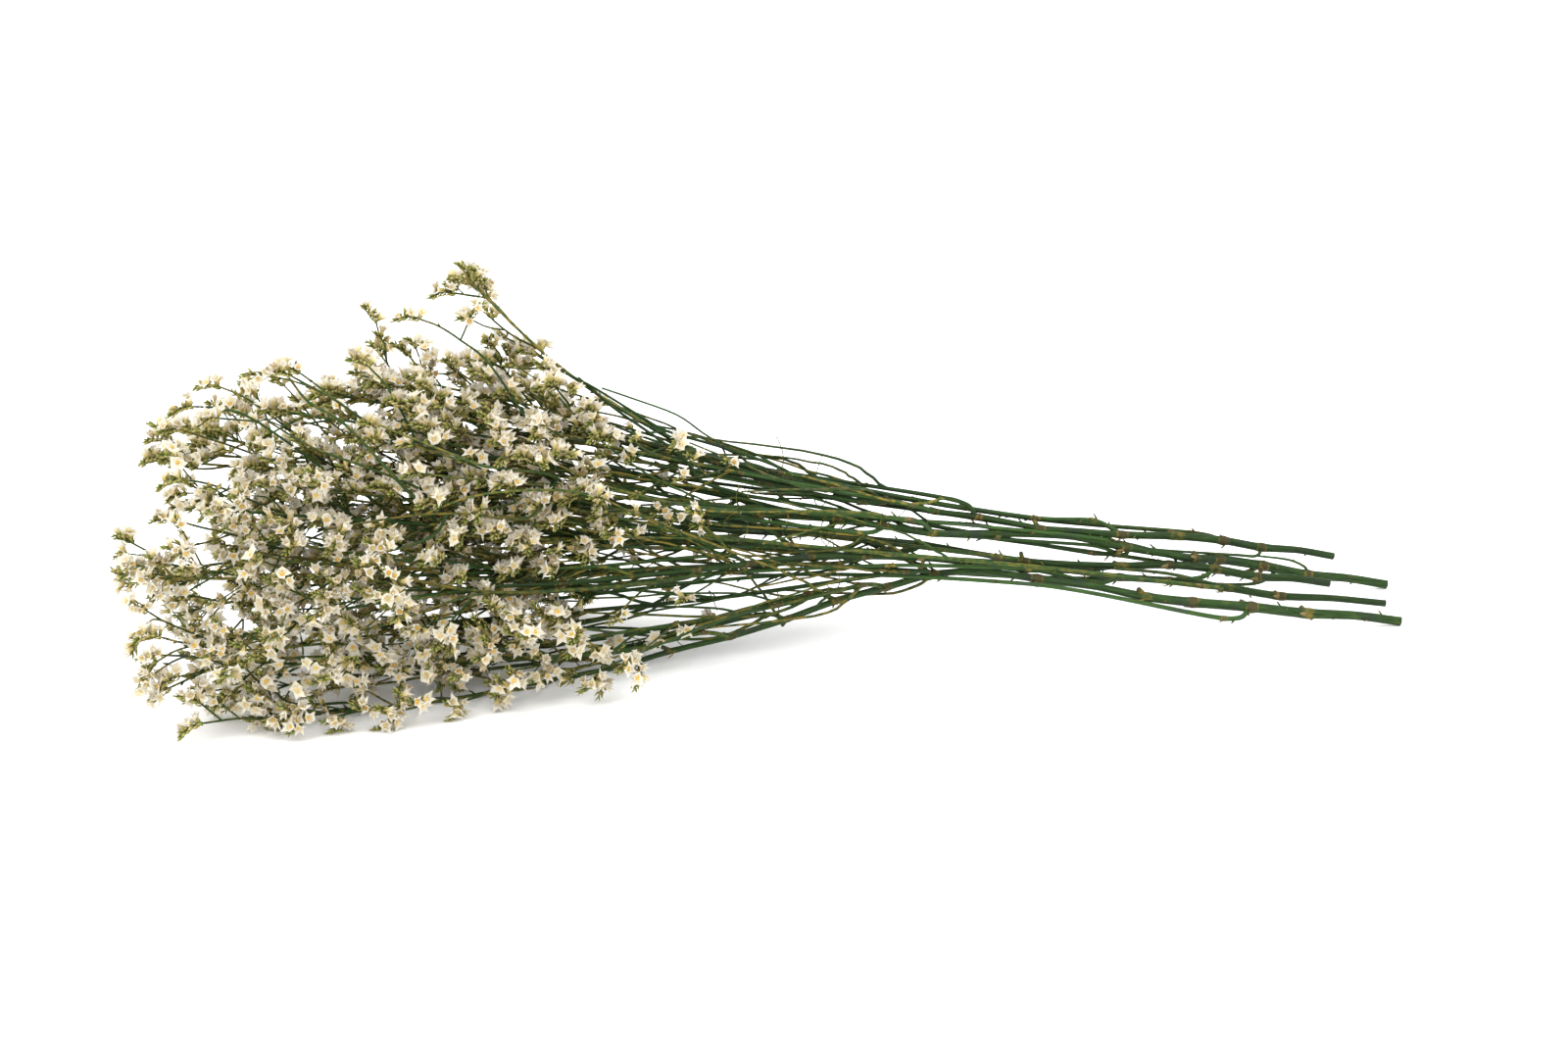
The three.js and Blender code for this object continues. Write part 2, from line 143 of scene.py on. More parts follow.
# %% The stalks and their routes
STALKS = {
    "d": dict(
        cut_radius=2.15,
        route=[
            [304, -31, 1.9], [258, -28, 7.7], [204, -22, 14.4], [160, -11, 21], [105, 0, 28.5],
            [60, -2, 24], [10, -11, 14], [-45, -21, 5.5], [-100, -37, 1.2], [-160, -57, 1],
            [-236, -76, 5],
        ],
        centre=[-222, -56, 24], spread=[28, 18], depth=185,
    ),
    "c": dict(
        cut_radius=1.65,
        route=[
            [302, -14, 5.5], [250, -10, 11], [198, -3, 19.5], [150, 2, 25.5], [105, 0, 32.2],
            [49, -8, 42], [-9, -20, 46], [-65, -35, 48], [-129, -50, 52], [-195, -62, 50],
            [-250, -70, 41],
        ],
        centre=[-230, -36, 66], spread=[30, 32], depth=185,
    ),
    "e": dict(
        cut_radius=1.8,
        route=[
            [279, 2, 11.6], [243, 4, 16.5], [200, 9, 23.5], [150, 3, 28.7], [105, 10, 34.5],
            [55, 24, 40], [0, 35, 44], [-55, 45, 53], [-118, 55, 66], [-186, 60, 78],
            [-258, 60, 88],
        ],
        centre=[-232, 36, 44], spread=[36, 46], depth=185,
    ),
    "b": dict(
        cut_radius=2.1,
        route=[
            [315, 22, 1.8], [273, 20, 10], [227, 16, 22], [200, 9, 28.3], [150, 5, 41.5],
            [83, 0, 48.5], [37, 2, 57], [-9, 5, 69], [-59, 8, 84], [-122, 10, 101],
            [-225, 14, 121],
        ],
        centre=[-230, 8, 106], spread=[40, 28], depth=175,
    ),
    "a": dict(
        cut_radius=1.75,
        route=[
            [288, 25, 17.3], [250, 21, 25.4], [205, 14, 36], [150, 5, 44.95], [122, 4, 50.5],
            [85, 8, 57], [38, 10, 69], [-8, 12, 84], [-50, 14, 104], [-95, 15, 138],
            [-133, 10, 180],
        ],
        centre=[-168, 14, 128], spread=[36, 20], depth=120,
    ),
}
STALK_STEPS = 20
STALK_SEAT_STEP = 16
STALK_TIP_RADIUS = 0.6
ZIGZAG = 1.1
NODE_SWELL = 1.2
SPUR_STEPS = [2, 4, 7]
BRANCH_STEPS = [3, 5, 7, 9, 10, 11, 12, 13, 14, 15]
GOLDEN_ANGLE = math.radians(137.508)
GOLDEN_SHARE = 0.618034
print("stalks:", ", ".join(STALKS))

# %% Directions, turns and points on a line
def mix(start, end, share):
    return start + (end - start) * share


def unit(vector):
    return vector / math.sqrt(vector @ vector)


def turned(vector, axis, angle):
    """The vector turned about a unit axis."""
    across = np.cross(axis, vector) * math.sin(angle)
    return vector * math.cos(angle) + across + axis * (axis @ vector) * (1 - math.cos(angle))


def direction_at(points, step):
    return unit(points[min(step + 1, len(points) - 1)] - points[max(step - 1, 0)])


def square_to(direction, angle):
    """A direction square to the given one, turned about it by an angle."""
    up = np.array([0.0, 0.0, 1.0]) if abs(direction[2]) < 0.9 else np.array([0.0, 1.0, 0.0])
    return turned(unit(np.cross(up, direction)), direction, angle)


def through(points, share):
    """The point at a share of the way along a smooth line through the given points."""
    last = len(points) - 1
    step = min(int(last * share), last - 1)
    part = last * share - step
    start, end = points[step], points[step + 1]
    before = points[step - 1] if step else 2 * start - end
    after = points[step + 2] if step + 2 <= last else 2 * end - start
    leave, arrive = (end - before) / 2, (after - start) / 2
    square = 3 * (end - start) - 2 * leave - arrive
    cube = 2 * (start - end) + leave + arrive
    return start + leave * part + square * part**2 + cube * part**3


class Shoot:
    """A shoot's centre line: points with a radius each. Parts of a shoot share its rods."""
    numbers = itertools.count()

    def __init__(self, points, radii, whole=None):
        self.points = np.array(points, float)
        self.radii = np.array(radii, float)
        self.whole = whole or self
        self.number = next(Shoot.numbers)

    def length(self):
        return float(np.linalg.norm(np.diff(self.points, axis=0), axis=1).sum())

    def spot(self, distance):
        """The point, direction and radius at a distance from the root."""
        left, i = distance, 1
        while i < len(self.points) - 1 and left > np.linalg.norm(self.points[i] - self.points[i - 1]):
            left -= np.linalg.norm(self.points[i] - self.points[i - 1])
            i += 1
        span = self.points[i] - self.points[i - 1]
        share = left / np.linalg.norm(span)
        return self.points[i - 1] + span * share, unit(span), mix(self.radii[i - 1], self.radii[i], share)

    def part(self, first, last, gap=0.0):
        """The part from one step to another, which may start a small gap later."""
        points = self.points[first:last + 1].copy()
        points[0] += unit(points[1] - points[0]) * gap
        return Shoot(points, self.radii[first:last + 1], self)


quarter_turn = turned(np.array([1.0, 0.0, 0.0]), np.array([0.0, 0.0, 1.0]), math.pi / 2)
print("X turned by a quarter about Z:", quarter_turn.round(3))

# %% Each stalk's centre line
def stalk_shoot(stalk):
    route = np.array(stalk["route"], float)
    smooth = np.array([through(route, i / STALK_STEPS) for i in range(STALK_STEPS + 1)])
    points = smooth.copy()
    for step in range(1, STALK_SEAT_STEP, 2):
        points[step] += square_to(direction_at(smooth, step), step * GOLDEN_ANGLE) * ZIGZAG
    radii = [mix(stalk["cut_radius"], STALK_TIP_RADIUS, i / STALK_STEPS) for i in range(len(points))]
    for step in {*BRANCH_STEPS, *SPUR_STEPS}:
        radii[step] *= NODE_SWELL
    return Shoot(points, radii)


for name, stalk in STALKS.items():
    stalk["main"] = stalk_shoot(stalk)
print("stalk lengths:", {name: round(stalk["main"].length()) for name, stalk in STALKS.items()})

# %% [markdown]
# ## Part three: room to grow
#
# Shoots of one bunch lie beside each other and don't cut through each other. Everything placed
# so far is kept as short round-ended rods, and a new shoot is accepted only if each point of
# its line stays clear of all of them. All rods are tested at once with arrays, because a loop
# over every pair is slow.

# %% What has been placed so far
PASSING_GAP = 0.35
WALK_STEP = 2
FLORET_RADIUS = 6.8
FLORET_HEIGHT = 5
FLORET_PRESSED = 0.7
rods = dict(start=np.zeros((0, 3)), span=np.zeros((0, 3)), radius=np.zeros(0), owner=np.zeros(0, int))


def place(shoot):
    rods["start"] = np.vstack([rods["start"], shoot.points[:-1]])
    rods["span"] = np.vstack([rods["span"], np.diff(shoot.points, axis=0)])
    rods["radius"] = np.append(rods["radius"], np.maximum(shoot.radii[:-1], shoot.radii[1:]))
    rods["owner"] = np.append(rods["owner"], np.full(len(shoot.points) - 1, shoot.number))


def floret_ball(shoot):
    """The ball that the florets at a shoot's tip take up."""
    facing = direction_at(shoot.points, len(shoot.points) - 1)
    centre = shoot.points[-1] + facing * FLORET_HEIGHT * 0.7
    return Shoot([centre, centre], [FLORET_RADIUS, FLORET_RADIUS])


def walk(shoot):
    """Points every couple of millimetres along a shoot, with their radii and distances."""
    spots, radii, distances, walked = [], [], [], 0.0
    for i in range(1, len(shoot.points)):
        span = shoot.points[i] - shoot.points[i - 1]
        length = float(np.linalg.norm(span))
        count = max(1, math.ceil(length / WALK_STEP))
        share = np.arange(1, count + 1) / count
        spots.append(shoot.points[i - 1] + share[:, None] * span)
        radii.append(mix(shoot.radii[i - 1], shoot.radii[i], share))
        distances.append(walked + length * share)
        walked += length
    return np.vstack(spots), np.concatenate(radii), np.concatenate(distances)


def has_room(shoot, parent, root_stretch, pressed=1):
    spots, radii, distances = walk(shoot)
    if (spots[:, 2] < radii * pressed).any():
        return False
    start, span = rods["start"], rods["span"]
    squared = (span**2).sum(1)
    along = spots @ span.T - (start * span).sum(1)
    share = np.clip(along / np.where(squared > 0, squared, 1), 0, 1)
    apart = (spots**2).sum(1)[:, None] - 2 * spots @ start.T + (start**2).sum(1)
    apart += share * (share * squared - 2 * along)
    close = apart < (radii[:, None] + rods["radius"] + PASSING_GAP) ** 2
    if parent:
        close &= ~((distances[:, None] < root_stretch) & (rods["owner"] == parent.whole.number))
    return not close.any()


print("rods placed before anything grows:", len(rods["radius"]))

# %% [markdown]
# ## Part four: branches, twigs and the order of growing
#
# A side branch leaves its stalk at an angle, bends back to run with it through the neck, and
# then spreads into the head. Its last stretch flowers: twigs leave it at the golden angle, the
# turn that keeps leaves and twigs of real plants out of each other's way. Where a shoot finds
# no room it is tried again with looser draws, and it is left out if none of them has room.

# %% Side branches
BRANCH_LEAVES_AT = math.radians(29)
BRANCH_ELBOW = 15
BRANCH_ASIDE = 7
BRANCH_ROOT_RADIUS = 1.25
BRANCH_TIP_RADIUS = 0.55
BRANCH_PULL = 0.4
BRANCH_TRIES = 150
FLOWERING_LENGTH = 90
FLOWERING_SHARE = 0.6
FLOWERING_STEPS = 3
NECK_STEP = 7
NECK = np.array([105.0, 3.0, 36.0])
OUTLINE_X = [-260, -215, -185, -165, -145, -125, -105, -80, 60]
OUTLINE_Z = [112, 129, 135, 156, 175, 172, 142, 118, 72]


def head_place(stalk, order, index, looseness):
    """Where a branch's tip goes: the branches fill the head in a sunflower's spiral."""
    outwards = math.sqrt(1 - (index + 0.5) / len(BRANCH_STEPS)) * (1 + draw_around(0.4))
    turn = (index + 0.6 * order) * GOLDEN_ANGLE + draw_around(2 * looseness)
    place = np.array(stalk["centre"], float)
    place[1] += stalk["spread"][0] * outwards * math.cos(turn)
    place[2] += stalk["spread"][1] * outwards * math.sin(turn)
    back = stalk["depth"] * (((index + 0.5) * GOLDEN_SHARE) % 1 - 0.3) + draw_around(20)
    place += (NECK - place) * back / (NECK[0] - stalk["centre"][0])
    place[2] = max(place[2], FLORET_PRESSED * FLORET_RADIUS + 0.4)
    return place


def branch_shoot(main, step, tip, looseness):
    root = main.points[step]
    along = direction_at(main.points, step)
    across = tip - root
    across = unit(across - along * (across @ along))
    leaving = along * math.cos(BRANCH_LEAVES_AT) + across * math.sin(BRANCH_LEAVES_AT)
    points = [root, root + leaving * BRANCH_ELBOW]
    heading = direction_at(main.points, max(step, NECK_STEP))
    if step < NECK_STEP:
        side = turned(across, heading, draw_around(1 + looseness))
        points.append(main.points[NECK_STEP] + side * BRANCH_ASIDE * (1 + draw_around(1.1)))
    start = points[-1]
    way = float(np.linalg.norm(tip - start))
    pull = start + heading * BRANCH_PULL * way

    def bend(share):
        return (1 - share) ** 2 * start + 2 * (1 - share) * share * pull + share**2 * tip

    seat_share = 1 - min(FLOWERING_SHARE, FLOWERING_LENGTH / way)
    points += [bend(seat_share / 2), bend(seat_share)]
    seat = len(points) - 1
    points += [bend(mix(seat_share, 1, i / FLOWERING_STEPS)) for i in range(1, FLOWERING_STEPS + 1)]
    thickest = min(BRANCH_ROOT_RADIUS, 0.8 * main.radii[step])
    radii = [mix(thickest, BRANCH_TIP_RADIUS, i / (len(points) - 1)) for i in range(len(points))]
    shoot = Shoot(points, radii)
    shoot.seat = seat
    return shoot


def grow_with_room(tries, attempt, parent, root_stretch):
    """Tries a shoot with one loosened draw after another until one has room."""
    for n in range(tries):
        shoot = attempt(n)
        ball = floret_ball(shoot)
        x, _, z = ball.points[0]
        under = z < np.interp(x, OUTLINE_X, OUTLINE_Z)
        if under and has_room(shoot, parent, root_stretch) and has_room(ball, None, 0, FLORET_PRESSED):
            place(shoot)
            place(ball)
            return shoot
    return None


print("branches of each stalk, at most:", len(BRANCH_STEPS), "tries for each:", BRANCH_TRIES)

# %% Twigs and broken-off stumps
TWIG_SPACING = 16.5
TWIG_FIRST = 4
TWIG_LONGEST = 43
TWIG_SHORTEST = 22
TWIG_LEAVES_AT = math.radians(40)
TWIG_ROOT_RADIUS = 0.42
TWIG_TIP_RADIUS = 0.48
TWIG_TRIES = 40
PEDICEL_LENGTH = 14
PEDICEL_SHARE = 0.35
SPUR_LENGTH = 6
SPUR_RADIUS = 0.9
SEAT_GAP = 0.3


def side_shoot(point, direction, turn, length, root_radius, tip_radius):
    side = square_to(direction, turn)
    heading = direction * math.cos(TWIG_LEAVES_AT) + side * math.sin(TWIG_LEAVES_AT)
    return Shoot([point, point + heading * length], [root_radius, tip_radius])


def grow_twig(parent, distance, turn, length):
    point, direction, _ = parent.spot(distance)

    def attempt(n):
        turn_now = turn + 0.7 * n + draw_around(0.5)
        length_now = length * (1 - 0.012 * n)
        return side_shoot(point, direction, turn_now, length_now, TWIG_ROOT_RADIUS, TWIG_TIP_RADIUS)

    return grow_with_room(TWIG_TRIES, attempt, parent, 4)


def grow_spur(main, step):
    for n in range(TWIG_TRIES):
        turn = n * GOLDEN_ANGLE
        direction = direction_at(main.points, step)
        spur = side_shoot(main.points[step], direction, turn, SPUR_LENGTH, SPUR_RADIUS, 0.7 * SPUR_RADIUS)
        if has_room(spur, main, 3):
            place(spur)
            return spur
    return None


def grow_spray(axis):
    """The twigs of a flowering axis, from its seat to its tip, some with a second tip."""
    length = axis.length()
    count = max(3, math.floor(length / TWIG_SPACING + 0.5))
    first_turn = draw() * 2 * math.pi
    twigs = []
    for i in range(count):
        share = i / count
        reach = mix(TWIG_LONGEST, TWIG_SHORTEST, share) * (1 + draw_around(0.3))
        turn = first_turn + i * GOLDEN_ANGLE
        twig = grow_twig(axis, mix(TWIG_FIRST, length, share), turn, reach)
        if twig:
            twigs.append(twig)
            if draw() < PEDICEL_SHARE:
                pedicel = grow_twig(twig, 0.55 * twig.length(), turn + GOLDEN_ANGLE, PEDICEL_LENGTH)
                if pedicel:
                    twigs.append(pedicel)
    return twigs


print("twig lengths before the draw, mm:", TWIG_SHORTEST, "to", TWIG_LONGEST)

# %% Grow the bunch
for stalk in STALKS.values():
    place(stalk["main"])
    place(floret_ball(stalk["main"]))
for stalk in STALKS.values():
    grown = [grow_spur(stalk["main"], step) for step in SPUR_STEPS]
    stalk["spurs"] = [spur for spur in grown if spur]
    stalk["branches"] = []
for index, step in enumerate(BRANCH_STEPS):
    for order, stalk in enumerate(STALKS.values()):
        def attempt(n):
            looseness = 0.2 + n / 40
            tip = head_place(stalk, order, index, looseness)
            return branch_shoot(stalk["main"], step, tip, looseness)

        branch = grow_with_room(BRANCH_TRIES, attempt, stalk["main"], 12)
        if branch:
            stalk["branches"].append(branch)
sprays = {}
for name, stalk in STALKS.items():
    tip = stalk["main"].part(STALK_SEAT_STEP, STALK_STEPS, SEAT_GAP)
    sprays[f"spray_{name}_tip"] = (tip, grow_spray(tip))
    for i, branch in enumerate(stalk["branches"], 1):
        flowering = branch.part(branch.seat, len(branch.points) - 1, SEAT_GAP)
        sprays[f"spray_{name}_{i}"] = (flowering, grow_spray(flowering))
print("sprays:", len(sprays), "twigs:", sum(len(twigs) for _, twigs in sprays.values()))

# %% [markdown]
# ## Part five: does it agree with the frame?
#
# The frame was moved so that its origin lies under the middle of the bunch. The same move is
# read back from the frame here: each spray's florets are compared with the box of its solid.
# A rule that had gone another way anywhere would show as a large difference.

# %% Compare with the frame and take over its origin
LOBES = 5
FLORET_THROAT = 3
FLORET_FLOOR = 3.3


def frames_along(points):
    """Tangent, normal and binormal at each point, turning with the line without twist."""
    tangents = [direction_at(points, i) for i in range(len(points))]
    normals = [square_to(tangents[0], 0)]
    for tangent in tangents[1:]:
        normals.append(unit(normals[-1] - tangent * (normals[-1] @ tangent)))
    tangents, normals = np.array(tangents), np.array(normals)
    return tangents, normals, np.cross(tangents, normals)


def star_points(shoot):
    """The rim of the simple five-lobed funnel that the frame has at a shoot's tip."""
    tangents, normals, binormals = frames_along(shoot.points)
    turns = np.arange(2 * LOBES)[:, None] * math.pi / LOBES
    between = np.arange(2 * LOBES)[:, None] % 2 == 1
    out = np.cos(turns) * normals[-1] + np.sin(turns) * binormals[-1]
    rim = out * np.where(between, FLORET_THROAT, FLORET_RADIUS)
    return shoot.points[-1] + rim + tangents[-1] * np.where(between, FLORET_FLOOR, FLORET_HEIGHT)


lows, highs = [], []
for name, (axis, twigs) in sprays.items():
    rims = np.vstack([axis.points[:1], *(star_points(shoot) for shoot in [axis, *twigs])])
    low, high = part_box(name)
    lows.append(rims.min(0) - np.array(low) / MM)
    highs.append(rims.max(0) - np.array(high) / MM)
shift = np.median(lows, axis=0) * (1, 1, 0)
worst = np.abs(np.vstack([lows, highs]) - shift).max()
print("origin of the frame in the rule's own measure:", shift.round(3))
print("largest difference between the rule and a solid's box, mm:", round(float(worst), 2))

# %% [markdown]
# ## The colours of a dried plant
#
# The stems are dyed a deep green that shows streaks along the fibres, bluish blotches, and
# brown at each joint. Thinner shoots turn olive and then straw. One material per tissue can
# show all of that, if every point carries two numbers: its age, from fresh dye to straw, and a
# tint that differs from shoot to shoot. A third value, the grain, is a place that runs along
# the shoot, so that noise read there stretches into fibres.

# %% Short hand for node materials
PLANT_SHINE = 0.12
RELIEF_DEPTH = 0.0002


class Finish:
    """A material under construction, with its shader's sockets set or linked by name."""
    def __init__(self, name):
        self.material = bpy.data.materials.new(name)
        self.material.use_nodes = True
        self.tree = self.material.node_tree
        self.shader = self.tree.nodes["Principled BSDF"]
        self.shader.inputs["Specular IOR Level"].default_value = PLANT_SHINE

    def connect(self, value, socket):
        if isinstance(value, bpy.types.NodeSocket):
            self.tree.links.new(value, socket)
        else:
            socket.default_value = value

    def add(self, kind, sockets, output, **settings):
        node = self.tree.nodes.new("ShaderNode" + kind)
        for key, value in settings.items():
            setattr(node, key, value)
        for key, value in sockets.items():
            self.connect(value, node.inputs[key])
        return node.outputs[output]

    def attribute(self, name, output="Fac"):
        return self.add("Attribute", {}, output, attribute_name=name)

    def noise(self, vector, scale, detail=3.0):
        return self.add("TexNoise", {"Vector": vector, "Scale": scale, "Detail": detail}, "Fac")

    def math(self, operation, a, b, c=0.0):
        return self.add("Math", {0: a, 1: b, 2: c}, 0, operation=operation, use_clamp=True)

    def ramp(self, factor, *stops):
        """A colour for each place from 0 to 1, as (place, colour) pairs."""
        result = self.add("ValToRGB", {"Fac": factor}, "Color")
        elements = result.node.color_ramp.elements
        while len(elements) < len(stops):
            elements.new(0.5)
        for element, (place, colour) in zip(elements, stops):
            element.position = place
            element.color = (*colour, 1)
        return result

    def blend(self, factor, a, b, blend_type="MIX"):
        sockets = {0: factor, 6: a, 7: b}
        return self.add("Mix", sockets, 2, data_type="RGBA", blend_type=blend_type)

    def relief(self, pattern, smoothest, roughest, depth, strength):
        """Roughness between two values, and bump, where both follow one pattern."""
        roughness = self.math("MULTIPLY_ADD", pattern, roughest - smoothest, smoothest)
        self.connect(roughness, self.shader.inputs["Roughness"])
        sockets = {"Height": pattern, "Distance": depth, "Strength": strength}
        self.connect(self.add("Bump", sockets, "Normal"), self.shader.inputs["Normal"])

    def done(self, colour):
        self.connect(colour, self.shader.inputs["Base Color"])
        return self.material


# %% The dyed stem
DEEP_GREEN = (0.013, 0.032, 0.008)
LEAF_GREEN = (0.038, 0.081, 0.018)
BLUE_SHADE = (0.024, 0.034, 0.025)
OLIVE = (0.118, 0.100, 0.014)
STRAW = (0.210, 0.148, 0.030)
JOINT_BROWN = (0.060, 0.053, 0.020)
FIBRE_SCALE = 2.2
BLOTCH_SCALE = 70
PATCH_SCALE = 330


def stem_finish():
    stem = Finish("dyed_stem")
    fibres = stem.noise(stem.attribute("grain", "Vector"), FIBRE_SCALE)
    place = stem.add("TexCoord", {}, "Object")
    blotches = stem.noise(place, BLOTCH_SCALE)
    green = stem.ramp(fibres, (0.3, DEEP_GREEN), (0.72, LEAF_GREEN))
    shaded = stem.blend(stem.math("MULTIPLY_ADD", blotches, 4.0, -2.1), green, (*BLUE_SHADE, 1))
    straw = stem.ramp(fibres, (0.3, OLIVE), (0.7, STRAW))
    at_joint = stem.math("MULTIPLY_ADD", stem.attribute("age"), 2.0, -1.4)
    dried = stem.blend(at_joint, straw, (*JOINT_BROWN, 1))
    streaks = stem.add("Math", {0: fibres, 1: 0.9, 2: -0.75}, 0, operation="MULTIPLY_ADD")
    patches = stem.math("MULTIPLY_ADD", stem.noise(place, PATCH_SCALE), 3.6, -1.2)
    worn = stem.math("MULTIPLY_ADD", stem.math("MULTIPLY", stem.attribute("age"), patches), 2.0, streaks)
    light = stem.ramp(stem.attribute("tint"), (0, (0.6,) * 3), (1, (1.3,) * 3))
    stem.relief(fibres, 0.35, 0.65, RELIEF_DEPTH, 0.6)
    return stem.done(stem.blend(1.0, stem.blend(worn, shaded, dried), light, "MULTIPLY"))


stem_material = stem_finish()
print("stem nodes:", len(stem_material.node_tree.nodes))

# %% [markdown]
# ## Paper, scales and eyes
#
# What looks like the flower is a papery cup with five pointed lobes, stiffened by five ribs.
# It stays white for years. Some cups have gone buff. The tiny yellow flower sits in its throat,
# and olive scales with pale edges clasp its base. For these small forms the grain holds the
# place on the form itself: how far out, and how near to a rib.

# %% The papery cup
PAPER_WHITE = (0.63, 0.59, 0.49)
PAPER_PAINTED_CREAM_SHADE = (0.66, 0.57, 0.34)
PAPER_PAINTED_BEIGE_SHADE = (0.52, 0.42, 0.17)
PAPER_OLIVE_BASE_AND_SHADE = (0.24, 0.21, 0.06)
PAPER_RIB = (0.54, 0.47, 0.30)
BUFF = (0.35, 0.26, 0.12)
PAPER_CREASE_SCALE = 900
PAPER_GLOW = 0.4
PAPER_GLOW_REACH = 0.004


def paper_finish():
    paper = Finish("papery_cup")
    paper.shader.inputs["Subsurface Weight"].default_value = PAPER_GLOW
    paper.shader.inputs["Subsurface Radius"].default_value = (1, 0.9, 0.7)
    paper.shader.inputs["Subsurface Scale"].default_value = PAPER_GLOW_REACH
    grain = paper.attribute("grain", "Vector")
    place = paper.add("SeparateXYZ", {0: grain}, 0).node
    outwards, on_rib = place.outputs[0], place.outputs[1]
    # Olive at the base of the cup, beige and cream up the lower cup and in the throat, white at the lobe
    # tips. The olive at the base is partly the tube's own colour and partly painted shade; the beige and
    # cream are painted shade.
    stops = (0, PAPER_OLIVE_BASE_AND_SHADE), (0.3, PAPER_PAINTED_BEIGE_SHADE), (0.6, PAPER_PAINTED_CREAM_SHADE), (0.8, PAPER_WHITE)
    white = paper.ramp(outwards, *stops)
    ribbed = paper.blend(paper.math("MULTIPLY_ADD", on_rib, 4.0, -3.3), white, (*PAPER_RIB, 1))
    aged = paper.blend(paper.attribute("age"), ribbed, (*BUFF, 1))
    light = paper.ramp(paper.attribute("tint"), (0, (0.86, 0.84, 0.8)), (1, (1.0,) * 3))
    creases = paper.noise(paper.add("TexCoord", {}, "Object"), PAPER_CREASE_SCALE)
    paper.relief(creases, 0.6, 0.9, RELIEF_DEPTH, 0.4)
    return paper.done(paper.blend(1.0, aged, light, "MULTIPLY"))


# %% Yellow eye, scales and the pith of a cut end
EYE_YELLOW = (0.66, 0.45, 0.11)
EYE_ORANGE = (0.56, 0.35, 0.08)
EYE_FADED = (0.52, 0.42, 0.22)
SCALE_DARK = (0.125, 0.105, 0.024)
SCALE_OLIVE = (0.360, 0.305, 0.100)
SCALE_EDGE = (0.620, 0.530, 0.250)
BUD_DARK = (0.042, 0.076, 0.011)
BUD_GREEN = (0.140, 0.200, 0.030)
SCALE_BROWN = (0.150, 0.104, 0.045)
PITH = (0.340, 0.280, 0.135)
PITH_RIM = (0.050, 0.058, 0.018)
EYE_SPECKLE_SCALE = 1800
SCALE_CREASE_SCALE = 1200
PITH_PORE_SCALE = 2500
PITH_PORE_DEPTH = 0.0003


def eye_finish():
    eye = Finish("yellow_eye")
    speckle = eye.noise(eye.add("TexCoord", {}, "Object"), EYE_SPECKLE_SCALE)
    shade = eye.math("MULTIPLY_ADD", speckle, 0.4, eye.math("MULTIPLY", eye.attribute("tint"), 0.8))
    eye.relief(speckle, 0.5, 0.8, RELIEF_DEPTH, 0.5)
    return eye.done(eye.ramp(shade, (0.4, EYE_FADED), (0.7, EYE_ORANGE), (1, EYE_YELLOW)))


def scale_finish():
    scale = Finish("olive_scale")
    place = scale.add("SeparateXYZ", {0: scale.attribute("grain", "Vector")}, 2)
    creases = scale.noise(scale.add("TexCoord", {}, "Object"), SCALE_CREASE_SCALE)
    place = scale.math("MULTIPLY_ADD", creases, 0.4, scale.math("SUBTRACT", place, 0.2))
    scale.relief(creases, 0.5, 0.8, RELIEF_DEPTH, 0.5)
    body = scale.ramp(place, (0.1, SCALE_DARK), (0.55, SCALE_OLIVE), (0.95, SCALE_EDGE))
    fresh = scale.ramp(place, (0.1, BUD_DARK), (0.5, BUD_GREEN), (1.0, SCALE_OLIVE))
    brown = scale.blend(scale.attribute("tint"), body, (*SCALE_BROWN, 1))
    return scale.done(scale.blend(scale.attribute("age"), fresh, brown))


def pith_finish():
    pith = Finish("cut_pith")
    place = pith.add("SeparateXYZ", {0: pith.attribute("grain", "Vector")}, 0).node
    across = pith.math("POWER", place.outputs[0], 2.0)
    outwards = pith.math("MULTIPLY_ADD", place.outputs[1], place.outputs[1], across)
    pores = pith.noise(pith.add("TexCoord", {}, "Object"), PITH_PORE_SCALE)
    pith.relief(pores, 0.6, 0.95, PITH_PORE_DEPTH, 0.8)
    fresh = pith.ramp(outwards, (0.4, PITH), (0.95, PITH_RIM))
    return pith.done(pith.blend(pith.attribute("age"), fresh, (*JOINT_BROWN, 1)))


MATERIALS = [stem_material, paper_finish(), eye_finish(), scale_finish(), pith_finish()]
PAPER, EYE, SCALE, PITH_FACE = range(1, 5)  # a new face is stem, 0
print("materials:", [m.name for m in MATERIALS])

# %% [markdown]
# ## Small forms, used again and again
#
# A rod, a cup, a bud and a scale are each modelled once and then copied into place thousands
# of times, so each has only a few dozen faces. Every form carries the same three attributes,
# because a bmesh takes its layers from the first mesh that is put into it.

# %% A form and how it is put into place
LAYERS = (("age", "FLOAT", "value"), ("tint", "FLOAT", "value"), ("grain", "FLOAT_VECTOR", "vector"))
CLEAR_OF_TABLE = 0.0001
BOX_LOW = np.array(cad_low) + (0, 0, CLEAR_OF_TABLE)
BOX_HIGH = np.array(cad_high)


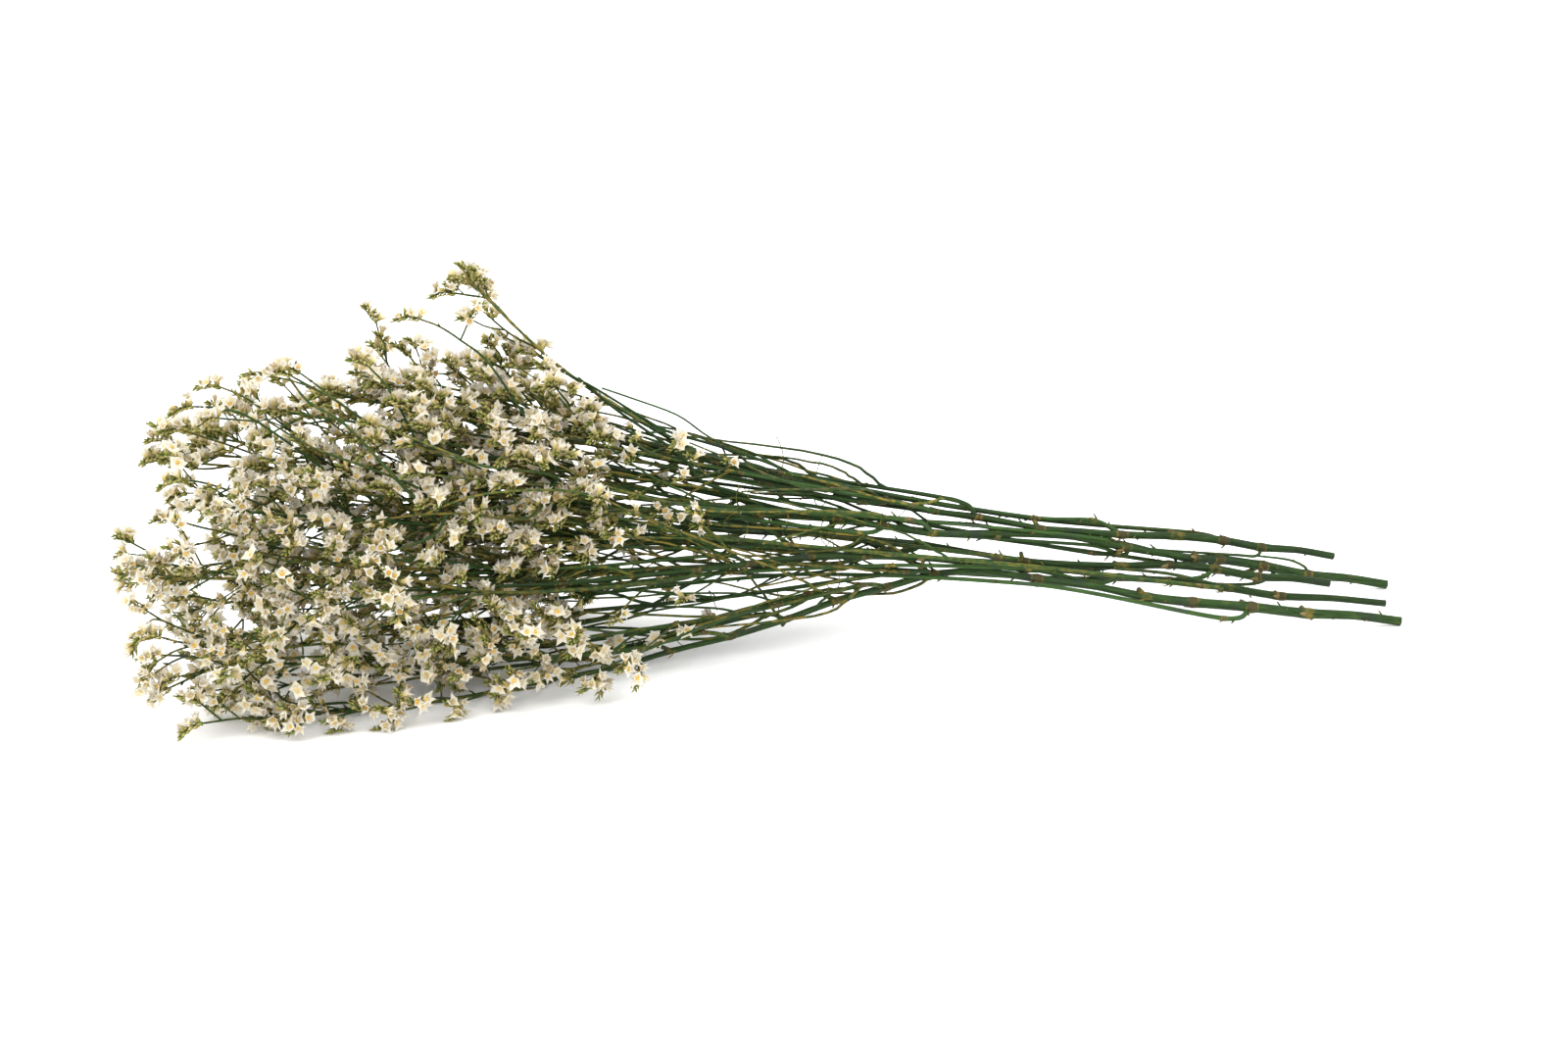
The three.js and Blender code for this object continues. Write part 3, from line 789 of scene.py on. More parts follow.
class Form:
    """A small mesh with the attributes that the materials read."""
    def __init__(self, name, bm):
        bmesh.ops.recalc_face_normals(bm, faces=bm.faces)
        self.mesh = bpy.data.meshes.new(name)
        bm.to_mesh(self.mesh)
        bm.free()
        for layer, kind, _ in LAYERS:
            self.mesh.attributes.new(layer, kind, "POINT")
        self.points = np.array([v.co for v in self.mesh.vertices], float)
        self.grain = self.points.copy()
        self.copies = 0

    def put(self, target, points, age, tint, grain):
        """Copies the form into a bmesh, with points (mm) and values given, inside the frame's box."""
        points = (points - shift) * MM
        points += np.maximum(BOX_LOW - points.min(0), 0) + np.minimum(BOX_HIGH - points.max(0), 0)
        self.mesh.vertices.foreach_set("co", points.ravel())
        for (layer, _, field), values in zip(LAYERS, (age, tint, grain)):
            values = np.broadcast_to(values, points.shape if layer == "grain" else len(points))
            self.mesh.attributes[layer].data.foreach_set(field, np.ascontiguousarray(values).ravel())
        target.from_mesh(self.mesh)
        self.copies += 1

    def set(self, target, place, facing, aside, size, age, tint):
        """Puts the form with its Z axis along a direction and its X axis near another."""
        x = unit(aside - facing * (aside @ facing))
        turn = np.array([x, np.cross(facing, x), facing])
        self.put(target, place + self.points * size @ turn, age, tint, self.grain)


print("room for the forms, mm:", ((BOX_HIGH - BOX_LOW) / MM).round(1))

# %% The rod: a stem that bends along any line
FIBRE_LENGTH = 0.06
dice = random.Random(20)
rod_forms = {}


def rod_form(sides, rings):
    """A straight rod of radius 1 and length 1, with its ends raised from a centre point."""
    bm = bmesh.new()
    bmesh.ops.create_cone(bm, cap_ends=True, segments=sides, radius1=1, radius2=1, depth=1)
    bmesh.ops.translate(bm, verts=bm.verts, vec=(0, 0, 0.5))
    lengthwise = [e for e in bm.edges if e.verts[0].co.z != e.verts[1].co.z]
    bmesh.ops.subdivide_edges(bm, edges=lengthwise, cuts=rings - 2)
    bm.normal_update()
    ends = [face for face in bm.faces if abs(face.normal.z) > 0.5]
    for face in bm.faces:
        face.smooth = True
    for face in bmesh.ops.poke(bm, faces=ends)["faces"]:
        face.material_index = PITH_FACE
        face.smooth = False
    return Form(f"rod_{sides}_{rings}", bm)


def put_rod(target, line, radii, sides, age, tint, flutes=0.0):
    """A stem along a line of points, with a radius and an age for each."""
    rings = len(line)
    if (sides, rings) not in rod_forms:
        rod_forms[sides, rings] = rod_form(sides, rings)
    form = rod_forms[sides, rings]
    _, normals, binormals = frames_along(line)
    ring = np.rint(form.points[:, 2] * (rings - 1)).astype(int)
    x, y = form.points[:, 0:1], form.points[:, 1:2]
    radius = np.broadcast_to(radii, rings)[ring, None] * (1 + flutes * np.cos(LOBES * np.arctan2(y, x)))
    points = line[ring] + radius * (x * normals[ring] + y * binormals[ring])
    walked = np.append(0, np.cumsum(np.linalg.norm(np.diff(line, axis=0), axis=1)))
    grain = np.hstack([x, y, walked[ring, None] * FIBRE_LENGTH + dice.random() * 100])
    form.put(target, points, np.broadcast_to(age, rings)[ring], tint, grain)


# %% The papery cup with its five lobes
CUP_RINGS = [
    # radius and height at a lobe, then between two lobes, mm
    ((0.35, 0.0), (0.35, 0.0)),
    ((0.95, 2.7), (0.90, 2.6)),
    ((2.10, 4.0), (1.75, 3.7)),
    ((3.70, 4.6), (1.75, 4.0)),
    ((0.85, 3.2), (0.85, 3.1)),
]
# How far out each ring lies, which the paper's colour reads: low values at the base and in the throat give
# painted shade there.
CUP_OUTWARDS = [0.0, 0.3, 0.7, 1.0, 0.6]
EYE_HEIGHT = 3.8


def cup_form(name, openness, unevenness, roundness=0.0):
    """A cup between shut (0) and wide open (1), its lobes uneven, and joined if it is round."""
    bm = bmesh.new()
    bmesh.ops.create_circle(bm, segments=2 * LOBES, radius=1, cap_ends=True)
    for _ in CUP_RINGS[1:]:
        bmesh.ops.extrude_edge_only(bm, edges=[e for e in bm.edges if e.is_boundary])
    throat = bmesh.ops.edgeloop_fill(bm, edges=[e for e in bm.edges if e.is_boundary])["faces"]
    for face in bmesh.ops.poke(bm, faces=throat)["faces"]:
        face.material_index = EYE
    bm.verts.index_update()
    grain = []
    for vert in bm.verts:
        ring = vert.index // (2 * LOBES)
        if ring == len(CUP_RINGS):
            vert.co = (0, 0, EYE_HEIGHT)
            grain.append((CUP_OUTWARDS[-1], 0, 0))
            continue
        turn = math.atan2(vert.co.y, vert.co.x)
        between = math.floor(turn * LOBES / math.pi) % 2
        radius, height = CUP_RINGS[ring][between]
        if ring > 1:
            radius = mix(radius, CUP_RINGS[ring][0][0], roundness)
            shut = (1 - openness) * (radius - 1)
            slip = unevenness * CUP_OUTWARDS[ring] ** 2
            radius = (radius - shut) * (1 + dice.uniform(-slip, slip))
            height += 0.8 * shut + 1.5 * dice.uniform(-slip, slip)
            turn += 0.6 * dice.uniform(-slip, slip)
        vert.co = (radius * math.cos(turn), radius * math.sin(turn), height)
        grain.append((CUP_OUTWARDS[ring], 1 - between, 0))
    form = Form(name, bm)
    form.grain = np.array(grain, float)
    for face in form.mesh.polygons:
        if face.material_index != EYE:
            face.material_index = PAPER
    return form


OPEN_CUPS = [cup_form(f"cup_{i}", 1 - 0.06 * i, 0.28 + 0.03 * i, (0, 0.1, 0.4)[i % 3]) for i in range(9)]
HALF_CUPS = [cup_form(f"half_cup_{i}", 0.5 - 0.2 * i, 0.2) for i in range(2)]
OLD_CUPS = [cup_form(f"old_cup_{i}", 0.3, 0.5) for i in range(2)]
print("faces of a cup:", len(OPEN_CUPS[0].mesh.polygons))

# %% Buds and scales
BUD_WIDTH = 0.2
SCALE_WIDTH = 0.27
SCALE_THICKNESS = 0.08
SCALE_BULGE = 0.16


def pointed_form(name, sides, rings, width, thickness, bulge):
    """A form of length 1 that swells and comes to a point, and may be flat and hollowed."""
    bm = bmesh.new()
    bmesh.ops.create_uvsphere(bm, u_segments=sides, v_segments=rings, radius=0.5)
    bmesh.ops.translate(bm, verts=bm.verts, vec=(0, 0, 0.5))
    bmesh.ops.scale(bm, verts=bm.verts, vec=(2 * thickness, 2 * width, 1))
    for vert in bm.verts:
        slimmer = 1.25 - 0.75 * vert.co.z
        vert.co.x = vert.co.x * slimmer + bulge * math.sin(math.pi * vert.co.z)
        vert.co.y *= slimmer
    for face in bm.faces:
        face.material_index = SCALE
        face.smooth = True
    return Form(name, bm)


bud = pointed_form("bud", 4, 3, BUD_WIDTH, BUD_WIDTH, 0)
scale = pointed_form("scale", 4, 3, SCALE_WIDTH, SCALE_THICKNESS, SCALE_BULGE)
inner_scale = pointed_form("inner_scale", 4, 2, SCALE_WIDTH, SCALE_THICKNESS, SCALE_BULGE)
small_forms = [*OPEN_CUPS, *HALF_CUPS, *OLD_CUPS, bud, scale, inner_scale]
print("faces of each form:", {form.mesh.name: len(form.mesh.polygons) for form in small_forms})

# %% [markdown]
# ## The spike
#
# On the real plant the flowers stand in two ranks on the upper side of a spike that curves
# away from them, each in a few scales, and the youngest, at the tip, are still green buds. A
# spike could be one modelled form too, but then all spikes would be alike. So its cups are
# placed one by one with small turns and leans.

# %% Put one flower, one spike, and the spikes of one tip
SPIKE_BEND = math.radians(60)
SPIKE_STEP = 1.9
RACHIS_STEPS = 4
RACHIS_RADII = (0.42, 0.26)
RACHIS_SIDES = 4
RANK_ASIDE = 0.62
OLD_SHARE = 0.07
HALF_SHARE = 0.18
CLOSED_SHARE = 0.2
CUP_SIZE = 1.07
CUP_SIZES_DIFFER = 0.26
BUD_LENGTH = 4.5
TIP_BUDS = 4
TIP_BUD_LENGTH = 3.4
SCALE_LENGTH = 4
SCALE_AGE = 0.6
SCALE_AGES_DIFFER = 0.9
CLASPING_TURNS = (0, 2.4, 4.3)
CLASPING_LENGTH = 3.3
HEAD_AXIS = (5, 50)
SPIKE_STARTS_BEFORE = 5
LOW_SPIKE = 24
STALKLETS_UNTIL = -70


def dice_around(width):
    return dice.uniform(-width / 2, width / 2)


def dice_vector(width):
    return np.array([dice_around(width) for _ in range(3)])


def put_flower(target, place, facing, aside):
    """A cup, or a bud that never opened, clasped by two or three scales."""
    pick = dice.random()
    forms = OLD_CUPS if pick < OLD_SHARE else HALF_CUPS if pick < OLD_SHARE + HALF_SHARE else OPEN_CUPS
    old = 0.75 + dice_around(0.4) if forms is OLD_CUPS else max(0, dice_around(0.5) - 0.1)
    aside = turned(aside, facing, dice.random() * 2 * math.pi)
    if pick > 1 - CLOSED_SHARE:
        length, age = BUD_LENGTH + dice_around(1), 0.3 + dice.random()
        bud.set(target, place, facing, aside, length, age, dice.random())
    else:
        cup, size = dice.choice(forms), CUP_SIZE + dice_around(CUP_SIZES_DIFFER)
        cup.set(target, place, facing, aside, size, old, dice.random())
    for turn in CLASPING_TURNS[:dice.choice((2, 3))]:
        out = turned(unit(aside - facing * (aside @ facing)), facing, turn + dice_around(0.8))
        heading = unit(facing + 0.35 * out)
        size, age = CLASPING_LENGTH + dice_around(1.2), SCALE_AGE + dice_around(SCALE_AGES_DIFFER)
        inner_scale.set(target, place + 0.3 * out, heading, out, size, age, dice.random() * 0.4)


def put_spike(target, root, direction, up, flowers, age, tint):
    """A spike that curves away from the side its flowers stand on."""
    up = unit(up - direction * (up @ direction))
    side = np.cross(direction, up)
    length = SPIKE_STEP * (flowers + 2)
    line = [root]
    for i in range(RACHIS_STEPS):
        bent = turned(direction, side, -SPIKE_BEND * i / RACHIS_STEPS)
        line.append(line[-1] + bent * length / RACHIS_STEPS)
    line = np.array(line)
    put_rod(target, line, np.linspace(*RACHIS_RADII, len(line)), RACHIS_SIDES, age, tint)
    for i in range(flowers):
        share = (i + 1) / (flowers + 2)
        bend = -SPIKE_BEND * share
        upright, forwards = turned(up, side, bend), turned(direction, side, bend)
        rank = RANK_ASIDE * (1 if i % 2 else -1) + dice_around(0.4)
        facing = unit(upright + side * rank + forwards * (0.35 + dice_around(0.9)) + dice_vector(1.1))
        put_flower(target, through(line, share), facing, side)
    for i in range(2 * flowers):
        share = (i / 2 + 0.3) / (flowers + 1)
        bend = -SPIKE_BEND * share
        out = unit(side * (1 if i % 2 else -1) - turned(up, side, bend) * dice.random() * 0.8)
        heading = unit(turned(direction, side, bend) + 0.45 * out)
        place = through(line, share) + 0.2 * out
        size, scale_age = SCALE_LENGTH + dice_around(1), SCALE_AGE + dice_around(SCALE_AGES_DIFFER)
        scale.set(target, place, heading, out, size, scale_age, dice.random() * 0.3)
    for i in range(TIP_BUDS):
        share = (flowers + 0.6 + 0.45 * i) / (flowers + 2)
        bend = -SPIKE_BEND * share
        upright, forwards = turned(up, side, bend), turned(direction, side, bend)
        facing = unit(forwards + upright * (0.8 - 0.2 * i) + side * (0.5 if i % 2 else -0.5))
        length, bud_age = TIP_BUD_LENGTH - 0.3 * i, dice.random() * 0.6
        bud.set(target, through(line, share), facing, side, length, bud_age, dice.random())


def outwards_at(place, direction):
    """The side of a shoot that looks out of the bunch, where its flowers get the light."""
    out = place - np.array([place[0], *HEAD_AXIS])
    out += dice_vector(80) + (0, 0, 18)
    if place[2] < LOW_SPIKE:
        out[2] = abs(out[2])
    return unit(out - direction * (out @ direction))


def put_tip(target, line, spikes, age, tint):
    """A spike at the end of a line, and others on short stalks that fork off before it."""
    length = np.linalg.norm(np.diff(line, axis=0), axis=1).sum()
    direction = unit(line[-1] - line[-2])
    up = outwards_at(line[-1], direction)
    side = np.cross(direction, up) * dice.choice((-1, 1))
    root = through(line, 1 - SPIKE_STARTS_BEFORE / length)
    heading = unit(direction + 0.3 * up + dice_vector(0.4))
    if line[-1][0] > STALKLETS_UNTIL:
        put_spike(target, root, heading, up + 0.4 * direction, dice.choice((1, 2)), age, tint)
        return
    put_spike(target, root, heading, up + 0.4 * direction, dice.choice((4, 5, 6)), age, tint)
    for i in range(spikes - 1):
        fork = through(line, 1 - (SPIKE_STARTS_BEFORE + 3 + (3 + dice_around(2)) * i) / length)
        heading = unit(direction + (0.8, -0.8, 0.5)[i] * side + 0.3 * up + dice_vector(0.4))
        tip = fork + heading * dice.uniform(2, 6)
        stalklet = np.array([fork, mix(fork, tip, 0.5), tip])
        put_rod(target, stalklet, RACHIS_RADII[0], RACHIS_SIDES, age, tint)
        put_spike(target, tip, heading, up + dice_vector(1), dice.choice((3, 4, 5)), age, tint)


# %% A test: the forms of one tip
sample = bmesh.new()
put_tip(sample, sprays["spray_a_tip"][0].points, 3, 0.5, 0.5)
print("faces of a tip with three spikes:", len(sample.faces), "layers:", len(sample.verts.layers.float))
sample.free()

# %% [markdown]
# ## Lines between the points of the rule
#
# The rule gives a shoot only a few points, and the frame joins them with straight rods. A
# real shoot bends smoothly between its nodes, with a slight corner at each. The line is a
# mixture of both: part of the way from the straight rods to a smooth curve.

# %% The finer line of a shoot
SMOOTHNESS = 0.7
NODE_REACH = 2.0
NODE_BULGE = 0.22


def fine_line(shoot, first, last, spacing):
    """Points along part of a shoot, a set distance apart, with radii and steps."""
    length = np.linalg.norm(np.diff(shoot.points[first:last + 1], axis=0), axis=1).sum()
    steps = np.linspace(first, last, max(3, math.ceil(length / spacing) + 1))
    whole = len(shoot.points) - 1
    smooth = np.array([through(shoot.points, step / whole) for step in steps])
    straight = np.column_stack([
        np.interp(steps, range(whole + 1), shoot.points[:, axis]) for axis in range(3)
    ])
    radii = np.interp(steps, range(whole + 1), shoot.radii)
    return mix(straight, smooth, SMOOTHNESS), radii, steps


def near_nodes(line, places, reach, weakest=1.0):
    """How near each point of a line is to one of some places: up to 1 at a place, 0 far away."""
    near = np.zeros(len(line))
    for place in places:
        apart = np.linalg.norm(line - place, axis=1)
        near = np.maximum(near, dice.uniform(weakest, 1) * np.exp(-((apart / reach) ** 2)))
    return near


def nearest_on(line, place):
    return line[np.linalg.norm(line - place, axis=1).argmin()]


def square_out(direction):
    return square_to(direction, dice.random() * 2 * math.pi)


tip_axis = sprays["spray_a_tip"][0]
fine_points = fine_line(tip_axis, 0, len(tip_axis.points) - 1, NODE_REACH)[0]
print("points of a flowering tip, by the rule and in its finer line:", len(tip_axis.points), len(fine_points))

# %% [markdown]
# ## Flowering sprays
#
# A spray is an axis with twigs, olive rather than green, and each twig ends in spikes. Where
# a twig leaves, the axis is a little thicker and browner, and a small dry scale sits below.

# %% Build the sprays
TWIG_BOW = 0.08
TWIG_RADII = (0.6, 0.45)
TWIG_SIDES = 5
AXIS_SPACING = 3.5
AXIS_SIDES = 7
SPIKE_COUNTS = (1, 2, 2, 3)
STALKLET_SPACING = 24
STALKLET_LENGTH = (8, 20)
STALKLET_RADII = (0.45, 0.38)
STALKLETS_FADE = 60


def put_twig(target, twig, start, age, tint):
    """A thin, slightly bowed twig. Returns its line."""
    way = twig.points[-1] - start
    length = np.linalg.norm(way)
    bow = square_out(way / length) * length * TWIG_BOW * dice.random()
    shares = np.linspace(0, 1, max(4, math.ceil(length / 5) + 1))
    line = start + way * shares[:, None] + bow * np.sin(math.pi * shares)[:, None]
    at_root = 0.3 * (shares < 0.05)
    put_rod(target, line, np.linspace(*TWIG_RADII, len(line)), TWIG_SIDES, age + at_root, tint)
    return line


def put_stalklet(target, place, direction, age, tint):
    """A short curved side stalk that ends in one spike."""
    out = square_out(direction)
    half = dice.uniform(*STALKLET_LENGTH) / 2
    knee = place + half * unit(direction + 0.9 * out)
    tip = knee + half * unit(direction + 0.35 * out + 0.3 * square_out(direction))
    if tip[2] > np.interp(tip[0], OUTLINE_X, OUTLINE_Z) or tip[2] < FLORET_HEIGHT:
        return
    line = np.array([through([place, knee, tip], share) for share in np.linspace(0, 1, 4)])
    put_rod(target, line, np.linspace(*STALKLET_RADII, len(line)), RACHIS_SIDES, age, tint)
    heading = unit(tip - knee)
    put_spike(target, tip, heading, outwards_at(tip, heading), dice.choice((2, 3, 4)), age, tint)


def put_scale(target, place, direction, size, age):
    out = square_out(direction)
    scale.set(target, place, unit(direction + 0.3 * out), out, size, age, 0.4 + 0.6 * dice.random())


def put_stalklets(target, line, age, tint):
    """Stalklets all along a line, at distances and turns that vary."""
    length = np.linalg.norm(np.diff(line, axis=0), axis=1).sum()
    count = int(length / STALKLET_SPACING)
    for i in range(count):
        share = (i + 0.3 + 0.6 * dice.random()) / count
        place = through(line, share)
        if place[0] > STALKLETS_UNTIL - STALKLETS_FADE * dice.random():
            continue
        direction = direction_at(line, round(share * (len(line) - 1)))
        put_stalklet(target, place, direction, age + dice_around(0.3), tint)


def build_spray(axis, twigs):
    spray = bmesh.new()
    base_age = 0.5 * dice.random()
    tint = dice.random()
    line, radii, _ = fine_line(axis, 0, len(axis.points) - 1, AXIS_SPACING)
    nodes = [nearest_on(line, twig.points[0]) for twig in twigs]
    near = near_nodes(line, nodes, NODE_REACH)
    age = base_age + 0.25 * np.linspace(0, 1, len(line)) + 0.3 * near
    put_rod(spray, line, radii * (1 + NODE_BULGE * near), AXIS_SIDES, age, tint)
    put_tip(spray, line, 4, base_age + 0.2, tint)
    put_stalklets(spray, line, base_age + 0.2, tint)
    lines = []
    for twig, node in zip(twigs, nodes):
        for other in lines:
            close = nearest_on(other, twig.points[0])
            if np.linalg.norm(close - twig.points[0]) < np.linalg.norm(node - twig.points[0]):
                node = close
        age = base_age + 0.4 * dice.random()
        lines.append(put_twig(spray, twig, node, age, dice.random()))
        direction = unit(lines[-1][1] - lines[-1][0])
        put_scale(spray, node, direction, 3 + dice_around(1), 0.8)
        put_tip(spray, lines[-1], dice.choice(SPIKE_COUNTS), age, tint)
        if twig.length() > 1.2 * PEDICEL_LENGTH:
            put_stalklets(spray, lines[-1], age, tint)
    return spray


def make_piece(name, bm, node=None):
    """A bmesh becomes a piece that rides on the bunch and may stand for a node of the frame."""
    mesh = bpy.data.meshes.new(name)
    bm.to_mesh(mesh)
    bm.free()
    for material in MATERIALS:
        mesh.materials.append(material)
    piece = bpy.data.objects.new(name, mesh)
    bpy.context.scene.collection.objects.link(piece)
    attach(piece, "root")
    if node:
        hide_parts(node)
    triangles[name] = sum(len(face.vertices) - 2 for face in mesh.polygons)


triangles = {}
for node, (axis, twigs) in sprays.items():
    make_piece(node.replace("spray", "flowers"), build_spray(axis, twigs), node)
print("spray triangles:", sum(triangles.values()), "most in one:", max(triangles.values()))

# %% [markdown]
# ## The green stalks
#
# Each stalk is one piece with its side branches, up to where they begin to flower, and the
# stumps of broken-off shoots. The joints are thicker and brown, with a dry scale each, and the
# cut ends show pale pith.

# %% Build the stalks
STALK_SIDES = 20
BRANCH_SIDES = 10
STALK_SPACING = 3
SPUR_SPACING = 1.5
FLUTE_DEPTH = 0.06
BRANCH_FLUTE_DEPTH = 0.03
SCALE_AT_NODE = 4.5
STUB_SHARE = 0.12
STUB_LENGTH = (0.8, 3.5)
STUB_RADII = np.array([0.7, 0.5, 0.35])
STUB_AGES = np.array([0.2, 0.4, 0.7])
KNOB_SHARE = 0.7
KNOB_LENGTH = (1.8, 4.6)
KNOB_SHAPE = np.array([0.8, 0.65, 0.66, 0.55])
KNOB_AGES = np.array([0.2, 0.3, 0.6, 1.6])
STALK_TINT = 0.4
JOINT_AGE = 6


def put_node_scale(target, place, direction, radius, size):
    """A dry brown scale that clasps a joint."""
    out = square_out(direction)
    heading = unit(direction + 0.35 * out)
    scale.set(target, place + out * radius * 0.75, heading, out, size, 0.95, 0.85 + 0.15 * dice.random())


def put_stub(target, place, direction, radius):
    """What is left of a thin shoot that broke off."""
    length = dice.uniform(*STUB_LENGTH)
    heading = unit(direction + 1.1 * square_out(direction))
    line = place + heading * np.linspace(0, radius + length, len(STUB_RADII))[:, None]
    put_rod(target, line, STUB_RADII, TWIG_SIDES, STUB_AGES, 0.3 * dice.random())


def put_knob(target, place, direction, radius):
    """The stump of a thick side shoot, brown where it was broken."""
    out = unit(direction * dice.uniform(0.2, 1.2) + square_out(direction))
    line = place + out * np.linspace(0, radius + dice.uniform(*KNOB_LENGTH), len(KNOB_SHAPE))[:, None]
    if line[-1][2] > radius and dice.random() < KNOB_SHARE:
        put_rod(target, line, radius * KNOB_SHAPE, 8, KNOB_AGES, 0.6 * dice.random())


def put_stubs(target, line, radii):
    for i in range(1, len(line) - 1):
        if dice.random() < STUB_SHARE:
            put_stub(target, line[i], unit(line[i + 1] - line[i]), radii[i])


def build_stalk(stalk):
    green = bmesh.new()
    main = stalk["main"]
    tint = STALK_TINT * dice.random()
    line, radii, _ = fine_line(main, 0, STALK_SEAT_STEP, STALK_SPACING)
    nodes = [main.points[step] for step in (*SPUR_STEPS, *BRANCH_STEPS)]
    near = near_nodes(line, nodes, NODE_REACH, 0.6)
    age = np.linspace(0.16, 0.04, len(line)) + JOINT_AGE * near**3
    put_rod(green, line, radii * (1 + 1.4 * NODE_BULGE * near), STALK_SIDES, age, tint, FLUTE_DEPTH)
    put_stubs(green, line, radii)
    for step in (*SPUR_STEPS, *BRANCH_STEPS):
        direction = direction_at(main.points, step)
        put_node_scale(green, main.points[step], direction, main.radii[step], SCALE_AT_NODE + dice_around(2))
        put_knob(green, main.points[step], direction, main.radii[step])
    for spur in stalk["spurs"]:
        spur_line, spur_radii, _ = fine_line(spur, 0, 1, SPUR_SPACING)
        put_rod(green, spur_line, spur_radii, BRANCH_SIDES, np.linspace(0.3, 1.0, len(spur_line)), tint)
    for branch in stalk["branches"]:
        branch_line, radii, _ = fine_line(branch, 0, branch.seat, STALK_SPACING)
        flare = np.exp(-np.arange(len(branch_line)) / 1.2)
        elbows = branch.points[1:branch.seat + 1]
        elbow = near_nodes(branch_line, elbows, 0.8 * NODE_REACH, 0.6)
        age = 0.4 * dice.random() ** 3 + 0.9 * flare + JOINT_AGE * elbow**3
        swollen = radii * (1 + 0.35 * flare + NODE_BULGE * elbow)
        put_rod(green, branch_line, swollen, BRANCH_SIDES, age, dice.random(), BRANCH_FLUTE_DEPTH)
        for place in elbows:
            direction = direction_at(branch_line, np.linalg.norm(branch_line - place, axis=1).argmin())
            put_node_scale(green, place, direction, 0.8, 3 + dice_around(1.5))
        put_stubs(green, branch_line, radii)
    return green


for name, stalk in STALKS.items():
    make_piece(f"green_stalk_{name}", build_stalk(stalk), f"stalk_{name}")
print("stalk triangles:", {key: value for key, value in triangles.items() if "stalk" in key})

# %% [markdown]
# ## Thin shoots and dry strands
#
# Between the branches run many thinner shoots, too thin for the frame. They leave a branch
# where the neck widens, keep near its direction, and end in one spike inside the head, or bare.
# Others have dried into brown strands that curl. They grow on the lines of the branches, so
# they follow the bunch, and each stalk's own are one piece.

# %% Build the thin shoots
SHOOTS_BETWEEN = (-60, 90)
SHOOT_SHARE = 0.12
SHOOT_LENGTH = (50, 150)
BARE_SHOOTS_BETWEEN = (-170, -60)
BARE_SHOOT_SHARE = 0.3
BARE_SHOOT_LENGTH = (35, 90)
SHOOT_STEPS = 14
SHOOT_SINKS = 15
SIDE_X = [-120, -60, 0, 60]
SIDE_Y = [85, 60, 34, 18]
STRANDS_BETWEEN = (-100, 60)
STRAND_SHARE = 0.07
STRAND_STEPS = 16
STRAND_LENGTH = (10, 30)
STRAND_CURL = (0.05, 0.3)
STRAND_RADII = (0.3, 0.2)
STRAND_HANGS = 5


def put_shoot(target, place, direction, lengths, bare):
    """A long thin shoot. It is left out where it would end outside the bunch."""
    out = unit(square_out(direction) + 0.7 * outwards_at(place, direction))
    length = dice.uniform(*lengths)
    knee = place + 0.3 * length * unit(direction + 0.42 * out)
    end = knee + 0.7 * length * unit(direction + 0.12 * out + dice_vector(0.45))
    low, high = BOX_LOW / MM + shift + FLORET_RADIUS, BOX_HIGH / MM + shift - FLORET_RADIUS
    low[2] = max(low[2], place[2] - SHOOT_SINKS)
    high[2] = np.interp(end[0], OUTLINE_X, OUTLINE_Z)
    if abs(end[1]) > np.interp(end[0], SIDE_X, SIDE_Y) or (end < low).any() or (end > high).any():
        return
    shares = np.linspace(0, 1, SHOOT_STEPS)
    line = np.array([through([place, knee, end], share) for share in shares])
    line[1:] += [dice_vector(0.7) for _ in line[1:]]
    age, tint = 0.6 * dice.random() ** 1.5 + 0.25 * bare, dice.random()
    put_rod(target, line, np.linspace(dice.uniform(0.6, 1), 0.46, SHOOT_STEPS), 5, age + 0.3 * shares, tint)
    if not bare and end[0] < STALKLETS_UNTIL + STALKLETS_FADE * dice.random():
        heading = unit(line[-1] - line[-2])
        put_spike(target, line[-1], heading, outwards_at(end, heading), dice.choice((2, 3)), age, tint)


def put_strand(target, place, direction):
    """A thin dry strand that curls away from a stem."""
    heading = unit(direction * dice.choice((-1, 1, 1)) + square_out(direction))
    axis = unit(square_out(heading) + 0.4 * square_out(direction))
    step = dice.uniform(*STRAND_LENGTH) / STRAND_STEPS
    curl = dice.uniform(*STRAND_CURL)
    line = [place]
    for _ in range(STRAND_STEPS):
        heading = turned(heading, axis, curl + dice_around(0.35))
        line.append(line[-1] + heading * step)
    line = np.array(line)
    if line[:, 2].min() > max(place[2] - STRAND_HANGS, 0.5):
        radii = np.linspace(*STRAND_RADII, len(line))
        put_rod(target, line, radii, RACHIS_SIDES, 0.7 + dice_around(0.5), dice.random())


def along_between(line, first, last, share):
    """Some of the points of a line that lie between two places along X, and the line's way there."""
    for i in range(1, len(line) - 1):
        if first < line[i][0] < last and dice.random() < share:
            yield line[i], unit(line[i + 1] - line[i])


def build_shoots(stalk):
    thin = bmesh.new()
    for branch in stalk["branches"]:
        line, _, _ = fine_line(branch, 0, branch.seat, STALK_SPACING)
        for place, direction in along_between(line, *SHOOTS_BETWEEN, SHOOT_SHARE):
            put_shoot(thin, place, direction, SHOOT_LENGTH, False)
        for place, direction in along_between(line, *BARE_SHOOTS_BETWEEN, BARE_SHOOT_SHARE):
            put_shoot(thin, place, direction, BARE_SHOOT_LENGTH, True)
        for place, direction in along_between(line, *STRANDS_BETWEEN, STRAND_SHARE):
            put_strand(thin, place, direction)
    return thin


for name, stalk in STALKS.items():
    make_piece(f"thin_shoots_{name}", build_shoots(stalk))
print("shoot triangles:", {key: value for key, value in triangles.items() if "thin" in key})
